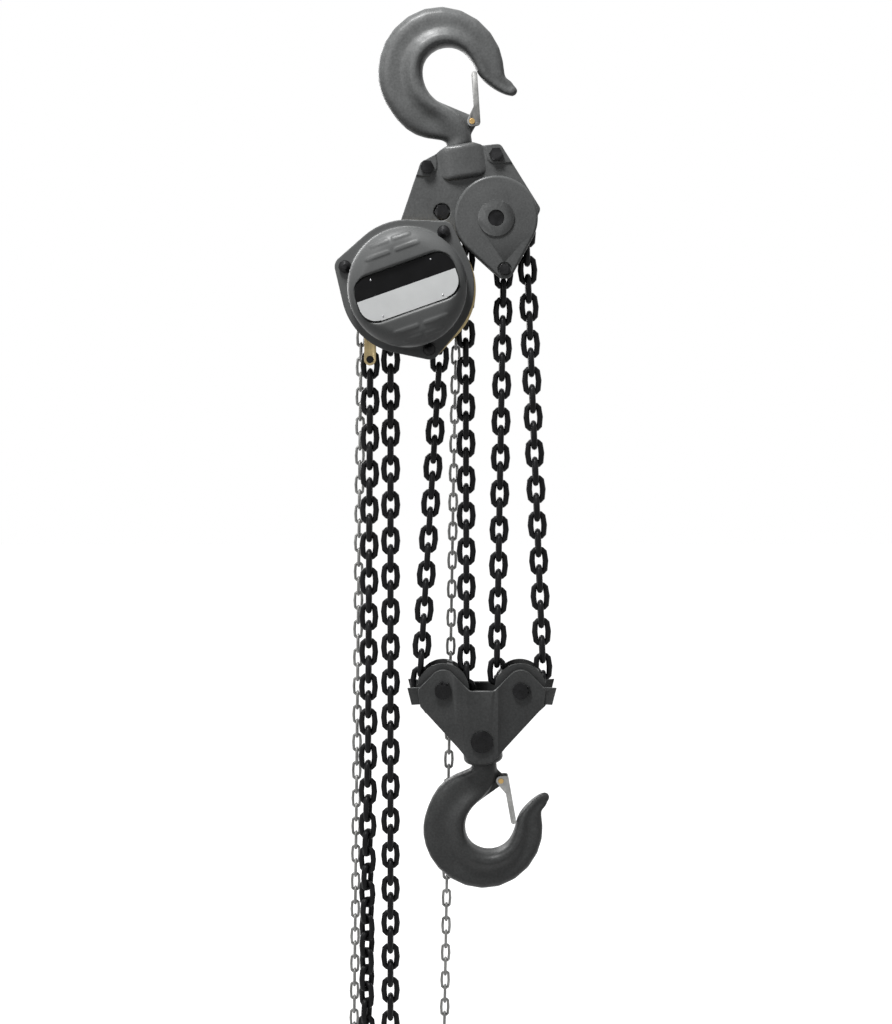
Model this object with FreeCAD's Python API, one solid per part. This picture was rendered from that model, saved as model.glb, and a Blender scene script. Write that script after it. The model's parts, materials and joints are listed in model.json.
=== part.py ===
import FreeCAD, Part
import os
from math import sin, cos, tan, asin, atan2, sqrt, hypot, pi, radians, degrees

# Hand chain hoist, four falls of load chain, hung by its top hook.
# Millimetres. X runs to the right, Z up, Y from the gear cover at the front to the hand wheel at the back.
# The origin is the saddle of the top hook, where the hoist hangs from whatever carries it.

# Load chain and hand chain
chain_wire = 10.0
chain_pitch = 30.0
chain_inner_width = 12.5
chain_play = 0.16
hand_wire = 5.0
hand_pitch = 25.0
hand_inner_width = 7.5
hand_play = 0.12

# Chain wheels: pockets per turn
load_pockets = 6
idler_pockets = 5
block_pockets = 4
hand_pockets = 10
wheel_half_width = 20.0
wheel_rim_rise = 3.5
pocket_clearance = 1.4
hand_wheel_half_width = 11.0
hand_rim_rise = 2.5

# Hooks, in the hook's own plane, from the centre of its bowl
bowl_radius = 41.0
hook_thickness = 56.0
shank_radius = 21.0
top_shank_rise = 35.5
bottom_shank_rise = 33.5
shank_neck_radius = 17.0
ear_half_width = 5.0
ear_radius = 9.0
latch_half_width = 11.0
latch_sheet = 2.0
latch_pin_radius = 3.0
latch_pin_head = 4.6
latch_pin_head_height = 1.2
latch_strip = 9.0
latch_pin_side = 26.2
latch_pin_height = 81.5
latch_elbow_side = 35.0
latch_elbow_height = 84.0
latch_knee_side = 37.0
latch_knee_height = 60.0
latch_end_side = 41.5
latch_end_height = 9.0
latch_ear_radius = 8.0
latch_spring_radius = 5.5
ear_crown_drop = 12.0
ear_corner = 4.0
ear_root_side = -23.0
ear_root_height = 46.0

# Swivel of the hooks
hook_lean = 9.0
bearing_height = 7.0
bearing_radius = 23.0
nut_height = 14.0
nut_radius = 22.5
shank_end = 2.0
crosshead_height = 20.0
crosshead_half_length = 38.0

# Running fits and gaps
fit = 0.05
seat_gap = 0.3
overrun = 1.0

# Upper frame: two cast plates held apart by the crosshead, sleeves and bolts
frame_gap_half = 24.0
frame_thickness = 10.0
frame_width = 217.0
frame_height = 145.0
frame_left = -78.0
frame_top = -164.0
frame_corner_radius = 9.0
boss_width = 72.0
boss_height = 54.0
boss_rise = 10.0
boss_corner = 12.0
boss_edge = 8.0
boss_drop = 143.0
pad_radius = 15.0
pad_rise = 2.0
pad_reach = 40.0
pad_up_angle = 95.0
pad_side_angle = 5.0
frame_neck_side = 45.0
frame_neck_height = -312.0
frame_neck_radius = 6.0
frame_bolt_radius = 7.0
frame_bolt_left_side = -33.5
frame_bolt_left_height = -191.0
frame_bolt_right_side = 76.6
frame_bolt_right_height = -171.2
cross_bolt_side = -9.6
cross_bolt_height = -262.5
cross_bolt_radius = 9.0
cross_recess_radius = 13.5
cross_recess_depth = 4.0
sleeve_wall = 4.0
bolt_head_ratio = 1.6
bolt_head_height = 7.0

# Idler wheel, its two cheeks and the anchored end of the chain
idler_side = 77.0
idler_height = -272.0
cheek_radius = 67.0
cheek_thickness = 14.0
cheek_edge = 4.5
tip_side = 90.7
tip_height = -353.0
tip_radius = 16.0
tip_recess_radius = 11.5
tip_recess_depth = 3.0
cheek_disc_radius = 29.0
cheek_disc_rise = 2.0
idler_pin_radius = 13.0
idler_bush_wall = 3.0
anchor_pin_radius = 5.8

# Hoist body: two side plates on three stay bolts
body_side = -65.0
body_height = -382.0
stud_spread = 52.65
body_tilt = 19.3
side_plate_thickness = 6.0
side_plate_inset = 3.5
side_plate_bulge = 6.0
side_plate_sag = 4.0
lobe_radius = 17.0
stay_radius = 7.0
stay_sleeve_radius = 11.0
link_bolt_side = -62.0
link_bolt_height = -294.0

# Gear cover
cover_flange_thickness = 6.0
cover_flange_width = 12.5
gear_clearance = 4.6
dome_depth = 66.0
dome_edge = 28.0
cover_wall = 4.0
slot_half_height = 38.0
slot_depth = 8.0
slot_end_gap = 10.0
slot_corner = 30.0
slot_mouth = 3.0
plate_margin = 2.0
data_plate_thickness = 1.5
rib_width = 5.5
rib_rise = 1.2
cap_nut_radius = 10.2
cap_nut_dome_share = 0.85
cap_nut_top_share = 0.4
cap_nut_height = 9.0

# Gears: straight teeth, module in millimetres
gear_module = 3.0
pinion_teeth = 8
wheel_teeth = 24
fine_gear_width = 16.0
coarse_gear_width = 14.0
gear_gap = 3.0
tooth_share = 0.38
tooth_tip_share = 0.8
tooth_root_share = 1.0
pressure_angle = 20.0
pinion_shaft_radius = 8.0
journal_length = 8.0
gear_shaft_radius = 8.0
hub_radius = 24.0
bearing_outer = 34.0
bearing_width = 12.0
cover_bearing_radius = 14.0

# Brake and hand wheel, stacked on the back end of the pinion shaft
brake_start = 46.0
brake_flange_radius = 34.0
brake_flange_thickness = 6.0
brake_hub_radius = 15.0
friction_radius = 33.0
friction_thickness = 3.0
ratchet_radius = 40.0
ratchet_root = 34.0
ratchet_teeth = 12
ratchet_thickness = 7.0
wheel_hub_radius = 22.0
hand_wheel_plane = 86.0
hand_web_thickness = 8.0
shaft_nut_radius = 13.0
shaft_nut_height = 9.0
pawl_angle = 127.2
pawl_distance = 53.0
pawl_reach_angle = 33.6
pawl_nose_radius = 1.8
pawl_radius = 7.0
pawl_pin_radius = 4.0
wheel_cover_gap = 7.0
wheel_cover_wall = 2.5
wheel_cover_back = 112.0
wheel_cover_mouth = 3.0

# Chain guide and tail anchor under the body
slack_side = -94.0
guide_height = -468.0
guide_nose_radius = 3.0
guide_half_width = 5.0
guide_bar_side = -131.0
guide_bar_height = -430.0
guide_bar_radius = 5.0
tail_side = -127.5
tail_height = -499.8
tail_pin_radius = 5.8
tail_eye_radius = 9.8
tail_strap_width = 18.0
tail_strap_thickness = 3.5
tail_strap_gap_half = 6.5
tail_strap_top = -457.0
tail_bar_radius = 4.0

# Lower block
block_centre_side = 56.5
block_wheel_spacing = 129.2
block_wheel_height = -1048.0
block_half_gap = 26.0
block_plate_thickness = 8.0
block_lobe_radius = 22.0
block_lobe_rise = 12.8
block_valley_radius = 8.0
block_valley_width = 34.0
block_shoulder_side = 96.0
block_shoulder_drop = 24.0
block_shoulder_radius = 7.0
block_wing_side = 101.0
block_wing_radius = 5.0
block_band_half = 27.0
block_band_rise = 6.0
block_band_ramp = 13.0
block_lip_reach = 23.0
block_lip_slant = 7.0
block_lip_flare = 6.0
block_lip_height = 29.0
block_pin_radius = 12.0
block_pin_head = 14.0
block_pin_head_height = 4.0
block_bush_wall = 3.0
yoke_height = -1133.5
yoke_trunnion_radius = 18.5
yoke_trunnion_rise = 3.0
yoke_body_radius = 33.0
yoke_body_top = 18.5
yoke_body_drop = 44.0
yoke_body_edge = 8.0
yoke_body_half = 31.0
bottom_lobe_radius = 37.5
bottom_hook_lean = 5.0

# Hanging loops
loop_bottom = -1825.0
loop_radius = 38.0
loop_flare_radius = 60.0
loop_rise = 118.0
hand_loop_bottom = -1790.0
hand_swing = -21.0
slack_swing = -5.0
tail_swing = -13.0
tail_twist = 45.0
tail_twist_start = -1180.0
tail_twist_full = -1520.0
tail_twist_fade = -1590.0
tail_twist_end = -1690.0
falls_split = -700.0

# Hook stations from the shank to the tip, as shares of the bowl radius:
# inner side, inner height, outer side, outer height, and the thickness as a share of the hook's.
hook_station_shares = (
    (0.50, 2.42, -0.62, 2.52, 0.78),
    (0.36, 1.92, -1.26, 2.32, 0.86),
    (-0.08, 1.42, -1.94, 1.86, 0.94),
    (-0.64, 0.96, -2.44, 1.08, 1.0),
    (-0.96, 0.40, -2.70, 0.30, 1.0),
    (-0.99, -0.20, -2.68, -0.54, 1.0),
    (-0.76, -0.68, -2.24, -1.54, 1.0),
    (-0.27, -0.97, -1.20, -2.36, 1.0),
    (0.29, -0.96, 0.19, -2.52, 0.96),
    (0.74, -0.68, 1.46, -1.82, 0.88),
    (1.02, -0.20, 2.12, -0.66, 0.76),
    (1.20, 0.29, 2.18, 0.25, 0.66),
    (1.47, 0.67, 2.22, 0.54, 0.54),
    (1.86, 1.02, 2.36, 0.66, 0.40),
    (2.28, 1.25, 2.49, 0.89, 0.30),
)
# Half of a hook section from its inner to its outer side: place across it, half thickness.
bowl_section_shares = (
    (0.0, 0.42), (0.08, 0.84), (0.20, 1.0), (0.34, 0.84), (0.44, 0.68), (0.86, 0.60), (1.0, 0.24),
)
round_section_shares = (
    (0.0, 0.26), (0.08, 0.56), (0.24, 0.87), (0.50, 1.0), (0.76, 0.87), (0.92, 0.56), (1.0, 0.26),
)
round_stations = 3
station_steps = 2
section_points = 24

# Search for the next turning point of a chain: shares of the step, and how often the bounds are halved
step_low_share = 0.9
step_high_share = 1.6
step_trials = 40
fit_trials = 8
link_corners = 8
bar_sides = 4

# Corners of the frame plates as shares of their width and height, anticlockwise from the right
frame_corner_shares = ((1.0, 0.648), (0.724, 0.0), (0.35, 0.055), (0.19, 0.18), (0.0, 1.0))
# Ribs on the cover: both ends along the slot and the distance from its middle, as shares of the dome radius
rib_place_shares = ((-0.47, -0.10, 0.65), (0.05, 0.42, 0.65), (-0.33, -0.06, 0.835), (0.06, 0.32, 0.835))


# Small helpers for shapes drawn in the X-Z plane and given a depth along Y

def at(place, depth=0.0):
    return FreeCAD.Vector(place[0], depth, place[1])


def away(place, angle, distance):
    return (place[0] + distance * cos(radians(angle)), place[1] + distance * sin(radians(angle)))


def rod(place, radius, start, end):
    return Part.makeCylinder(radius, end - start, at(place, start), FreeCAD.Vector(0, 1, 0))


def sleeve(place, radius, bore, start, end):
    return rod(place, radius, start, end).cut(rod(place, bore, start - overrun, end + overrun))


def hexagon(place, radius, start, end, turn=0.0):
    corners = [at(away(place, turn + 60 * k, radius), start) for k in range(6)]
    face = Part.Face(Part.makePolygon(corners + corners[:1]))
    return face.extrude(FreeCAD.Vector(0, end - start, 0))


def box(low, high):
    size = high - low
    return Part.makeBox(size.x, size.y, size.z, low)


def tangent(first, second):
    """Straight run from one round to the next; a negative radius is a round passed on its other side."""
    run_x = second[0] - first[0]
    run_z = second[1] - first[1]
    heading = atan2(run_z, run_x) - asin((second[2] - first[2]) / hypot(run_x, run_z))
    left = (-sin(heading), cos(heading))
    start = (first[0] - left[0] * first[2], first[1] - left[1] * first[2])
    end = (second[0] - left[0] * second[2], second[1] - left[1] * second[2])
    return start, end


def sweep_angles(around, start, end):
    """First angle and signed turn of the arc from start to end round one corner."""
    first = atan2(start[1] - around[1], start[0] - around[0])
    last = atan2(end[1] - around[1], end[0] - around[0])
    turn = (last - first) % (2 * pi)
    if around[2] < 0:
        turn = turn - 2 * pi
    return first, turn


def outline(rounds):
    """Closed wire of tangent lines and arcs round corners given as (side, height, radius)."""
    count = len(rounds)
    runs = [tangent(rounds[k], rounds[(k + 1) % count]) for k in range(count)]
    edges = []
    for k in range(count):
        around = rounds[k]
        start = runs[k - 1][1]
        end = runs[k][0]
        if around[2] != 0:
            first, turn = sweep_angles(around, start, end)
            middle = away(around, degrees(first + turn / 2), abs(around[2]))
            edges.append(Part.Arc(at(start), at(middle), at(end)).toShape())
        edges.append(Part.LineSegment(at(runs[k][0]), at(runs[k][1])).toShape())
    return Part.Wire(edges)


def slab(rounds, start, end):
    face = Part.Face(outline(rounds))
    face.translate(FreeCAD.Vector(0, start, 0))
    return face.extrude(FreeCAD.Vector(0, end - start, 0))


def turned(shape, place, angle):
    """The shape turned in the X-Z plane, anticlockwise as seen from the front."""
    copy = shape.copy()
    copy.rotate(at(place), FreeCAD.Vector(0, 1, 0), -angle)
    return copy


def bolt(place, radius, start, end):
    """A bolt with a hexagon at each end: its head and its nut."""
    head = radius * bolt_head_ratio
    shape = rod(place, radius, start, end)
    shape = shape.fuse(hexagon(place, head, start - bolt_head_height, start))
    return shape.fuse(hexagon(place, head, end, end + bolt_head_height)).removeSplitter()


def save(name, *solids):
    shape = solids[0] if len(solids) == 1 else Part.Compound(list(solids))
    shape.exportStep(os.path.join("parts", name + ".step"))


# Chain: a link, a path of straight runs and arcs, and a walk along it with steps of one pitch

def link_steps(pitch, wire, play):
    """Distances between turning points across a link seen face-on and across one seen edge-on.

    A chain bends in its plane about the bars of the edge-on links, so the steps alternate.
    """
    long_step = pitch + play + wire
    return 2 * pitch - long_step, long_step


def pitch_radius(pitch, wire, play, pockets):
    """Radius of the circle through the turning points of a chain laid round a pocket wheel."""
    short, long_step = link_steps(pitch, wire, play)
    turn = pi / pockets
    square = short * short + long_step * long_step + 2 * short * long_step * cos(turn)
    return sqrt(square) / (2 * sin(turn))


def link_solid(wire, pitch, inner_width, play):
    """One link along Z, its bar drawn with four sides and its ends with three straight stretches each."""
    half_long = (pitch + play + wire) / 2
    half_wide = (inner_width + wire) / 2
    corner = half_wide * tan(pi / 8)
    bend = half_long - half_wide + corner
    loop = [(half_wide, bend), (corner, half_long), (-corner, half_long), (-half_wide, bend),
            (-half_wide, -bend), (-corner, -half_long), (corner, -half_long), (half_wide, -bend)]
    reach = wire / 2
    rings = []
    for k in range(link_corners):
        before = loop[k - 1]
        here = loop[k]
        after = loop[(k + 1) % link_corners]
        way_in = atan2(here[1] - before[1], here[0] - before[0])
        way_out = atan2(after[1] - here[1], after[0] - here[0])
        half_turn = ((way_out - way_in + pi) % (2 * pi) - pi) / 2
        normal = way_in + half_turn - pi / 2
        out = (cos(normal) * reach / cos(half_turn), sin(normal) * reach / cos(half_turn))
        rings.append((FreeCAD.Vector(here[0] + out[0], 0, here[1] + out[1]),
                      FreeCAD.Vector(here[0], reach, here[1]),
                      FreeCAD.Vector(here[0] - out[0], 0, here[1] - out[1]),
                      FreeCAD.Vector(here[0], -reach, here[1])))
    faces = []
    for k in range(link_corners):
        one = rings[k]
        two = rings[(k + 1) % link_corners]
        for side in range(bar_sides):
            other = (side + 1) % bar_sides
            corners = [one[side], one[other], two[other], two[side], one[side]]
            faces.append(Part.Face(Part.makePolygon(corners)))
    solid = Part.Solid(Part.Shell(faces))
    if solid.Volume < 0:
        solid.reverse()
    return solid


def chain_path(start, rounds, end):
    """Pieces of a path: straight runs between the rounds, and the arcs on them."""
    stops = [(start[0], start[1], 0.0)] + list(rounds) + [(end[0], end[1], 0.0)]
    runs = [tangent(stops[k], stops[k + 1]) for k in range(len(stops) - 1)]
    pieces = []
    for k, run in enumerate(runs):
        if k > 0:
            around = stops[k]
            first, turn = sweep_angles(around, runs[k - 1][1], run[0])
            pieces.append(("arc", around, first, turn, abs(turn * around[2])))
        pieces.append(("line", run[0], run[1], 0.0, hypot(run[1][0] - run[0][0], run[1][1] - run[0][1])))
    return pieces


def spot(pieces, distance):
    """The point of the path at a distance along it, and the number of its piece."""
    for number, piece in enumerate(pieces):
        length = piece[4]
        if distance <= length or number == len(pieces) - 1:
            break
        distance -= length
    if piece[0] == "arc":
        around, first, turn = piece[1], piece[2], piece[3]
        return away(around, degrees(first + turn * distance / length), abs(around[2])), number
    share = distance / length
    low, high = piece[1], piece[2]
    return (low[0] + (high[0] - low[0]) * share, low[1] + (high[1] - low[1]) * share), number


def walk(pieces, steps):
    """Turning points of the chain along a path: short and long steps in turn, measured straight."""
    total = sum(piece[4] for piece in pieces)
    joints = [spot(pieces, 0.0) + (0.0,)]
    while joints[-1][2] + steps[(len(joints) - 1) % 2] * step_low_share < total:
        here, number, travelled = joints[-1]
        step = steps[(len(joints) - 1) % 2]
        low = travelled + step * step_low_share
        high = travelled + step * step_high_share
        for trial in range(step_trials):
            middle = (low + high) / 2
            there = spot(pieces, middle)[0]
            if hypot(there[0] - here[0], there[1] - here[1]) < step:
                low = middle
            else:
                high = middle
        joints.append(spot(pieces, high) + (high,))
    return joints


def hang_link(link, low, high, depth, roll):
    """The link placed between two joints; roll 0 shows its opening from the front."""
    along = (at(high) - at(low)).normalize()
    across = FreeCAD.Vector(0, 1, 0).cross(along)
    wide = across * cos(radians(roll)) + FreeCAD.Vector(0, 1, 0) * sin(radians(roll))
    flat = along.cross(wide)
    centre = (at(low, depth) + at(high, depth)) * 0.5
    matrix = FreeCAD.Matrix(wide.x, flat.x, along.x, centre.x,
                            wide.y, flat.y, along.y, centre.y,
                            wide.z, flat.z, along.z, centre.z,
                            0, 0, 0, 1)
    copy = link.copy()
    copy.Placement = FreeCAD.Placement(matrix)
    return copy


# Places of the chain wheels and the routes of the two chains

top_shank_length = latch_pin_height + top_shank_rise
bottom_shank_length = latch_pin_height + bottom_shank_rise
gear_spread = gear_module * (pinion_teeth + wheel_teeth) / 2
gear_reach = gear_spread + gear_module * (wheel_teeth / 2 + tooth_tip_share)
dome_radius = gear_reach + gear_clearance + cover_wall
stud_circle = dome_radius + cap_nut_radius + seat_gap
cover_flange_radius = dome_radius + cover_flange_width
side_plate_radius = cover_flange_radius - side_plate_inset
load_chain = (chain_pitch, chain_wire, chain_inner_width, chain_play)
hand_chain = (hand_pitch, hand_wire, hand_inner_width, hand_play)
load_radius = pitch_radius(chain_pitch, chain_wire, chain_play, load_pockets)
idler_radius = pitch_radius(chain_pitch, chain_wire, chain_play, idler_pockets)
block_radius = pitch_radius(chain_pitch, chain_wire, chain_play, block_pockets)
hand_radius = pitch_radius(hand_pitch, hand_wire, hand_play, hand_pockets)
wheel_cover_radius = hand_radius + hand_rim_rise + wheel_cover_gap + wheel_cover_wall
chain_half_width = chain_inner_width / 2 + chain_wire
hand_half_width = hand_inner_width / 2 + hand_wire
body_axis = (body_side, body_height)
idler_axis = (idler_side, idler_height)
anchor = (tip_side, tip_height)
left_wheel = (block_centre_side - block_wheel_spacing / 2, block_wheel_height)
right_wheel = (block_centre_side + block_wheel_spacing / 2, block_wheel_height)
tail_pin = (tail_side, tail_height)
hook_centre = (0.0, -bowl_radius)
yoke_axis = (block_centre_side, yoke_height)
link_bolt = (link_bolt_side, link_bolt_height)
cross_bolt = (cross_bolt_side, cross_bolt_height)
guide_bar = (guide_bar_side, guide_bar_height)
tail_bar = (tail_side, tail_strap_top)
hub_bore_radius = pinion_shaft_radius + fit
# Distances from the middle plane to the outside of the frame plates, the side plates and the covers' flanges
frame_face = frame_gap_half + frame_thickness
body_face = frame_face + side_plate_thickness
cover_face = body_face + cover_flange_thickness
# The gears lie in two layers in front of the body
coarse_gear_back = -body_face - gear_gap
coarse_gear_front = coarse_gear_back - coarse_gear_width
fine_gear_back = coarse_gear_front - gear_gap
fine_gear_front = fine_gear_back - fine_gear_width
# The hand wheel's hub starts behind the brake flange, both friction discs and the ratchet disc
hand_hub_front = brake_start + brake_flange_thickness + 2 * (fit + friction_thickness) + ratchet_thickness
guide_bend = chain_half_width + seat_gap + guide_nose_radius
guide_nose = (slack_side - guide_bend, guide_height)
link_roll = (0.0, 90.0)
# Numbers of the arcs in the load chain's path
right_arc = 1
idler_arc = 3
left_arc = 5
load_arc = 7
loop_arc = 13


def load_chain_pieces(bottom):
    """From the anchored end round the block, idler and load wheels, past the guide and round the loop."""
    slack_foot = slack_side + slack_swing
    tail_foot = tail_side + tail_swing
    bar = (chain_wire + chain_play) / 2
    start = (anchor[0], anchor[1] + anchor_pin_radius - bar)
    end = (tail_pin[0], tail_pin[1] + tail_pin_radius - bar)
    rounds = [
        (right_wheel[0], right_wheel[1], block_radius),
        (idler_axis[0], idler_axis[1], idler_radius),
        (left_wheel[0], left_wheel[1], -block_radius),
        (body_axis[0], body_axis[1], load_radius),
        (guide_nose[0], guide_nose[1], -guide_bend),
        (slack_foot + loop_flare_radius, bottom + loop_rise, loop_flare_radius),
        ((slack_foot + tail_foot) / 2, bottom + loop_radius, -loop_radius),
        (tail_foot - loop_flare_radius, bottom + loop_rise, loop_flare_radius),
    ]
    return chain_path(start, rounds, end)


def hand_chain_pieces(bottom):
    """Once round from the top of the hand wheel, down its left side and back up its right side."""
    wheel = body_axis + (hand_radius,)
    loop = (body_axis[0] + hand_swing, bottom + hand_radius, hand_radius)
    top = (body_axis[0], body_axis[1] + hand_radius)
    down = tangent(wheel, loop)
    up = tangent(loop, wheel)
    pieces = []
    arcs = ((wheel, top, down[0], down), (loop, down[1], up[0], up), (wheel, up[1], top, None))
    for around, start, end, run in arcs:
        first, turn = sweep_angles(around, start, end)
        pieces.append(("arc", around, first, turn, hand_radius * turn))
        if run:
            length = hypot(run[1][0] - run[0][0], run[1][1] - run[0][1])
            pieces.append(("line", run[0], run[1], 0.0, length))
    return pieces


def fit_chain(pieces_at, steps, bottom, odd):
    """Raises or lowers the loop until a whole number of links, odd or even, reaches the end of the path."""
    count = len(walk(pieces_at(bottom), steps)) - 2
    count -= (count + odd) % 2
    for trial in range(fit_trials):
        pieces = pieces_at(bottom)
        joints = walk(pieces, steps)
        total = sum(piece[4] for piece in pieces)
        bottom += (total - joints[count][2]) / 2
    return joints[:count + 1], bottom


def wheel_phase(joints, piece_number, centre):
    """Angle of the first link that lies flat in a pocket of the wheel on the numbered arc."""
    for k in range(1, len(joints) - 1, 2):
        if joints[k][1] == piece_number and joints[k + 1][1] == piece_number:
            low = joints[k][0]
            high = joints[k + 1][0]
            return degrees(atan2((low[1] + high[1]) / 2 - centre[1], (low[0] + high[0]) / 2 - centre[0]))
    return 0.0


def pocket_wheel(axis, depth, pockets, chain, radius, half_width, rise, phase):
    """A wheel with a groove for the links that stand on edge and a pocket for each link that lies flat."""
    pitch, wire, inner_width, play = chain
    short, long_step = link_steps(pitch, wire, play)
    rim = radius + rise
    outer_half = inner_width / 2 + wire
    groove_half = wire / 2 + pocket_clearance
    groove_floor = sqrt(radius * radius - short * short / 4) - outer_half - pocket_clearance
    wheel = rod(axis, rim, depth - half_width, depth + half_width)
    groove = sleeve(axis, rim + overrun, groove_floor, depth - groove_half, depth + groove_half)
    floor = sqrt(radius * radius - long_step * long_step / 4) - wire / 2 - pocket_clearance
    half_long = (long_step + wire) / 2 + pocket_clearance
    half_deep = outer_half + pocket_clearance
    pocket = box(FreeCAD.Vector(floor, -half_deep, -half_long),
                 FreeCAD.Vector(rim + overrun, half_deep, half_long))
    cuts = [groove]
    for k in range(pockets):
        cut = pocket.copy()
        cut.rotate(FreeCAD.Vector(0, 0, 0), FreeCAD.Vector(0, 1, 0), -(phase + 360.0 * k / pockets))
        cut.translate(at(axis, depth))
        cuts.append(cut)
    return wheel.cut(cuts)


# Hooks, drawn upright with the bowl centre at the origin and the shank upwards

def section_wire(inner, outer, thickness, round_share):
    """Cross-section of the hook between its inner and outer edge."""
    points = []
    for bowl, ring in zip(bowl_section_shares, round_section_shares):
        place = bowl[0] + (ring[0] - bowl[0]) * round_share
        half = (bowl[1] + (ring[1] - bowl[1]) * round_share) * thickness / 2
        side = inner[0] + (outer[0] - inner[0]) * place
        height = inner[1] + (outer[1] - inner[1]) * place
        points.append((side, half, height))
    front = [FreeCAD.Vector(x, -half, z) for x, half, z in points]
    back = [FreeCAD.Vector(x, half, z) for x, half, z in reversed(points)]
    curve = Part.BSplineCurve()
    curve.interpolate(Points=front + back, PeriodicFlag=True)
    return Part.makePolygon(curve.discretize(Number=section_points + 1))


def hook_stations(length):
    """Place, inner edge, outer edge and thickness along the hook, with stations set between the named ones."""
    top = length / bowl_radius
    side = shank_radius / bowl_radius
    shares = ((side, top, -side, top, 2 * shank_radius / hook_thickness),) + hook_station_shares
    order = [float(k) for k in range(len(shares))]
    inner, outer = Part.BSplineCurve(), Part.BSplineCurve()
    inner.interpolate(Points=[FreeCAD.Vector(row[0], row[4], row[1]) for row in shares], Parameters=order)
    outer.interpolate(Points=[FreeCAD.Vector(row[2], 0, row[3]) for row in shares], Parameters=order)
    stations = []
    for k in range((len(shares) - 1) * station_steps + 1):
        place = k / station_steps
        inside, outside = inner.value(place), outer.value(place)
        stations.append((place, (inside.x * bowl_radius, inside.z * bowl_radius),
                         (outside.x * bowl_radius, outside.z * bowl_radius), inside.y * hook_thickness))
    return stations


def hook_solid(length, neck_length):
    """Forged hook: a loft from the shank round the bowl to the tip, a latch ear and a turned neck."""
    wires = []
    for place, inner, outer, thickness in hook_stations(length):
        wires.append(section_wire(inner, outer, thickness, max(0.0, 1.0 - place / round_stations)))
    shape = Part.makeLoft(wires, True, True)
    tip = ((inner[0] + outer[0]) / 2, (inner[1] + outer[1]) / 2)
    nose = Part.makeSphere(hypot(outer[0] - inner[0], outer[1] - inner[1]) / 2, at(tip))
    pin = (latch_pin_side, latch_pin_height)
    crown = (shank_radius - 2 * ear_corner, length - ear_crown_drop, ear_corner)
    root = (ear_root_side, ear_root_height, ear_corner)
    ear = slab([pin + (ear_radius,), crown, root], -ear_half_width, ear_half_width)
    hole = rod(pin, latch_pin_radius, -ear_half_width - overrun, ear_half_width + overrun)
    neck = Part.makeCylinder(shank_neck_radius, neck_length, FreeCAD.Vector(0, 0, length))
    return shape.fuse([ear, neck, nose]).cut(hole)


def ring_about_shank(radius, bore, low, high):
    outer = Part.makeCylinder(radius, high - low, FreeCAD.Vector(0, 0, low))
    return outer.cut(Part.makeCylinder(bore, high - low, FreeCAD.Vector(0, 0, low)))


def hook_nut(low):
    angles = [pi / 3 * k for k in range(6)]
    corners = [FreeCAD.Vector(nut_radius * cos(turn), nut_radius * sin(turn), low) for turn in angles]
    nut = Part.Face(Part.makePolygon(corners + corners[:1])).extrude(FreeCAD.Vector(0, 0, nut_height))
    return nut.cut(Part.makeCylinder(shank_neck_radius, nut_height, FreeCAD.Vector(0, 0, low)))


def latch_solid():
    """Sheet latch: two cheeks outside the ear, joined by a web along their outer side."""
    strip = latch_strip / 2
    pin = (latch_pin_side, latch_pin_height)
    elbow = (latch_elbow_side, latch_elbow_height)
    knee = (latch_knee_side, latch_knee_height)
    end = (latch_end_side, latch_end_height)
    wide = latch_half_width
    ear = slab([pin + (latch_ear_radius,), knee + (strip,), elbow + (strip,)], -wide, wide)
    blade = slab([knee + (strip,), end + (strip,)], -wide, wide)
    web = strip - latch_sheet
    left = latch_pin_side - latch_ear_radius - overrun
    top = latch_elbow_height + strip + overrun
    low = latch_end_height - strip - overrun
    hollow = slab([(elbow[0] + web, top, 0.0), (left, top, 0.0), (left, low, 0.0),
                   (end[0] + web, low, 0.0), (knee[0] + web, knee[1], 0.0)],
                  latch_sheet - wide, wide - latch_sheet)
    hole = rod(pin, latch_pin_radius + fit, -wide - overrun, wide + overrun)
    return ear.fuse(blade).cut([hollow, hole])


def latch_pin():
    pin = (latch_pin_side, latch_pin_height)
    reach = latch_half_width + seat_gap
    shape = rod(pin, latch_pin_radius, -reach, reach)
    front = rod(pin, latch_pin_head, -reach - latch_pin_head_height, -reach)
    back = rod(pin, latch_pin_head, reach, reach + latch_pin_head_height)
    return shape.fuse([front, back])


def latch_spring():
    pin = (latch_pin_side, latch_pin_height)
    inside = latch_half_width - latch_sheet - seat_gap
    bore = latch_pin_radius + fit
    front = sleeve(pin, latch_spring_radius, bore, -inside, -ear_half_width - seat_gap)
    back = sleeve(pin, latch_spring_radius, bore, ear_half_width + seat_gap, inside)
    return front, back


def place_top(shape):
    """From the upright drawing to the top hook: turned shank down, leant and hung from its saddle."""
    copy = shape.copy()
    copy.rotate(FreeCAD.Vector(0, 0, 0), FreeCAD.Vector(1, 0, 0), 180)
    copy.translate(at(hook_centre))
    return turned(copy, hook_centre, hook_lean)


def place_bottom(shape):
    """From the upright drawing to the bottom hook, leant about the trunnions of its yoke."""
    copy = shape.copy()
    copy.translate(at((yoke_axis[0], yoke_axis[1] - yoke_body_drop - bottom_shank_length)))
    return turned(copy, yoke_axis, bottom_hook_lean)


def build_hooks():
    top_seat = top_shank_length + crosshead_height
    yoke_seat = bottom_shank_length + yoke_body_drop + yoke_body_top
    sets = (("top", top_shank_length, top_seat, place_top),
            ("bottom", bottom_shank_length, yoke_seat, place_bottom))
    for name, length, seat, place in sets:
        neck = seat - length + bearing_height + nut_height + shank_end
        save(name + "_hook", place(hook_solid(length, neck)))
        bore = shank_neck_radius + fit
        bearing = ring_about_shank(bearing_radius, bore, seat, seat + bearing_height)
        save(name + "_hook_bearing", place(bearing))
        save(name + "_hook_nut", place(hook_nut(seat + bearing_height)))
        save(name + "_latch", place(latch_solid()))
        save(name + "_latch_pin", place(latch_pin()))
        save(name + "_latch_spring", *[place(part) for part in latch_spring()])


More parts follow.
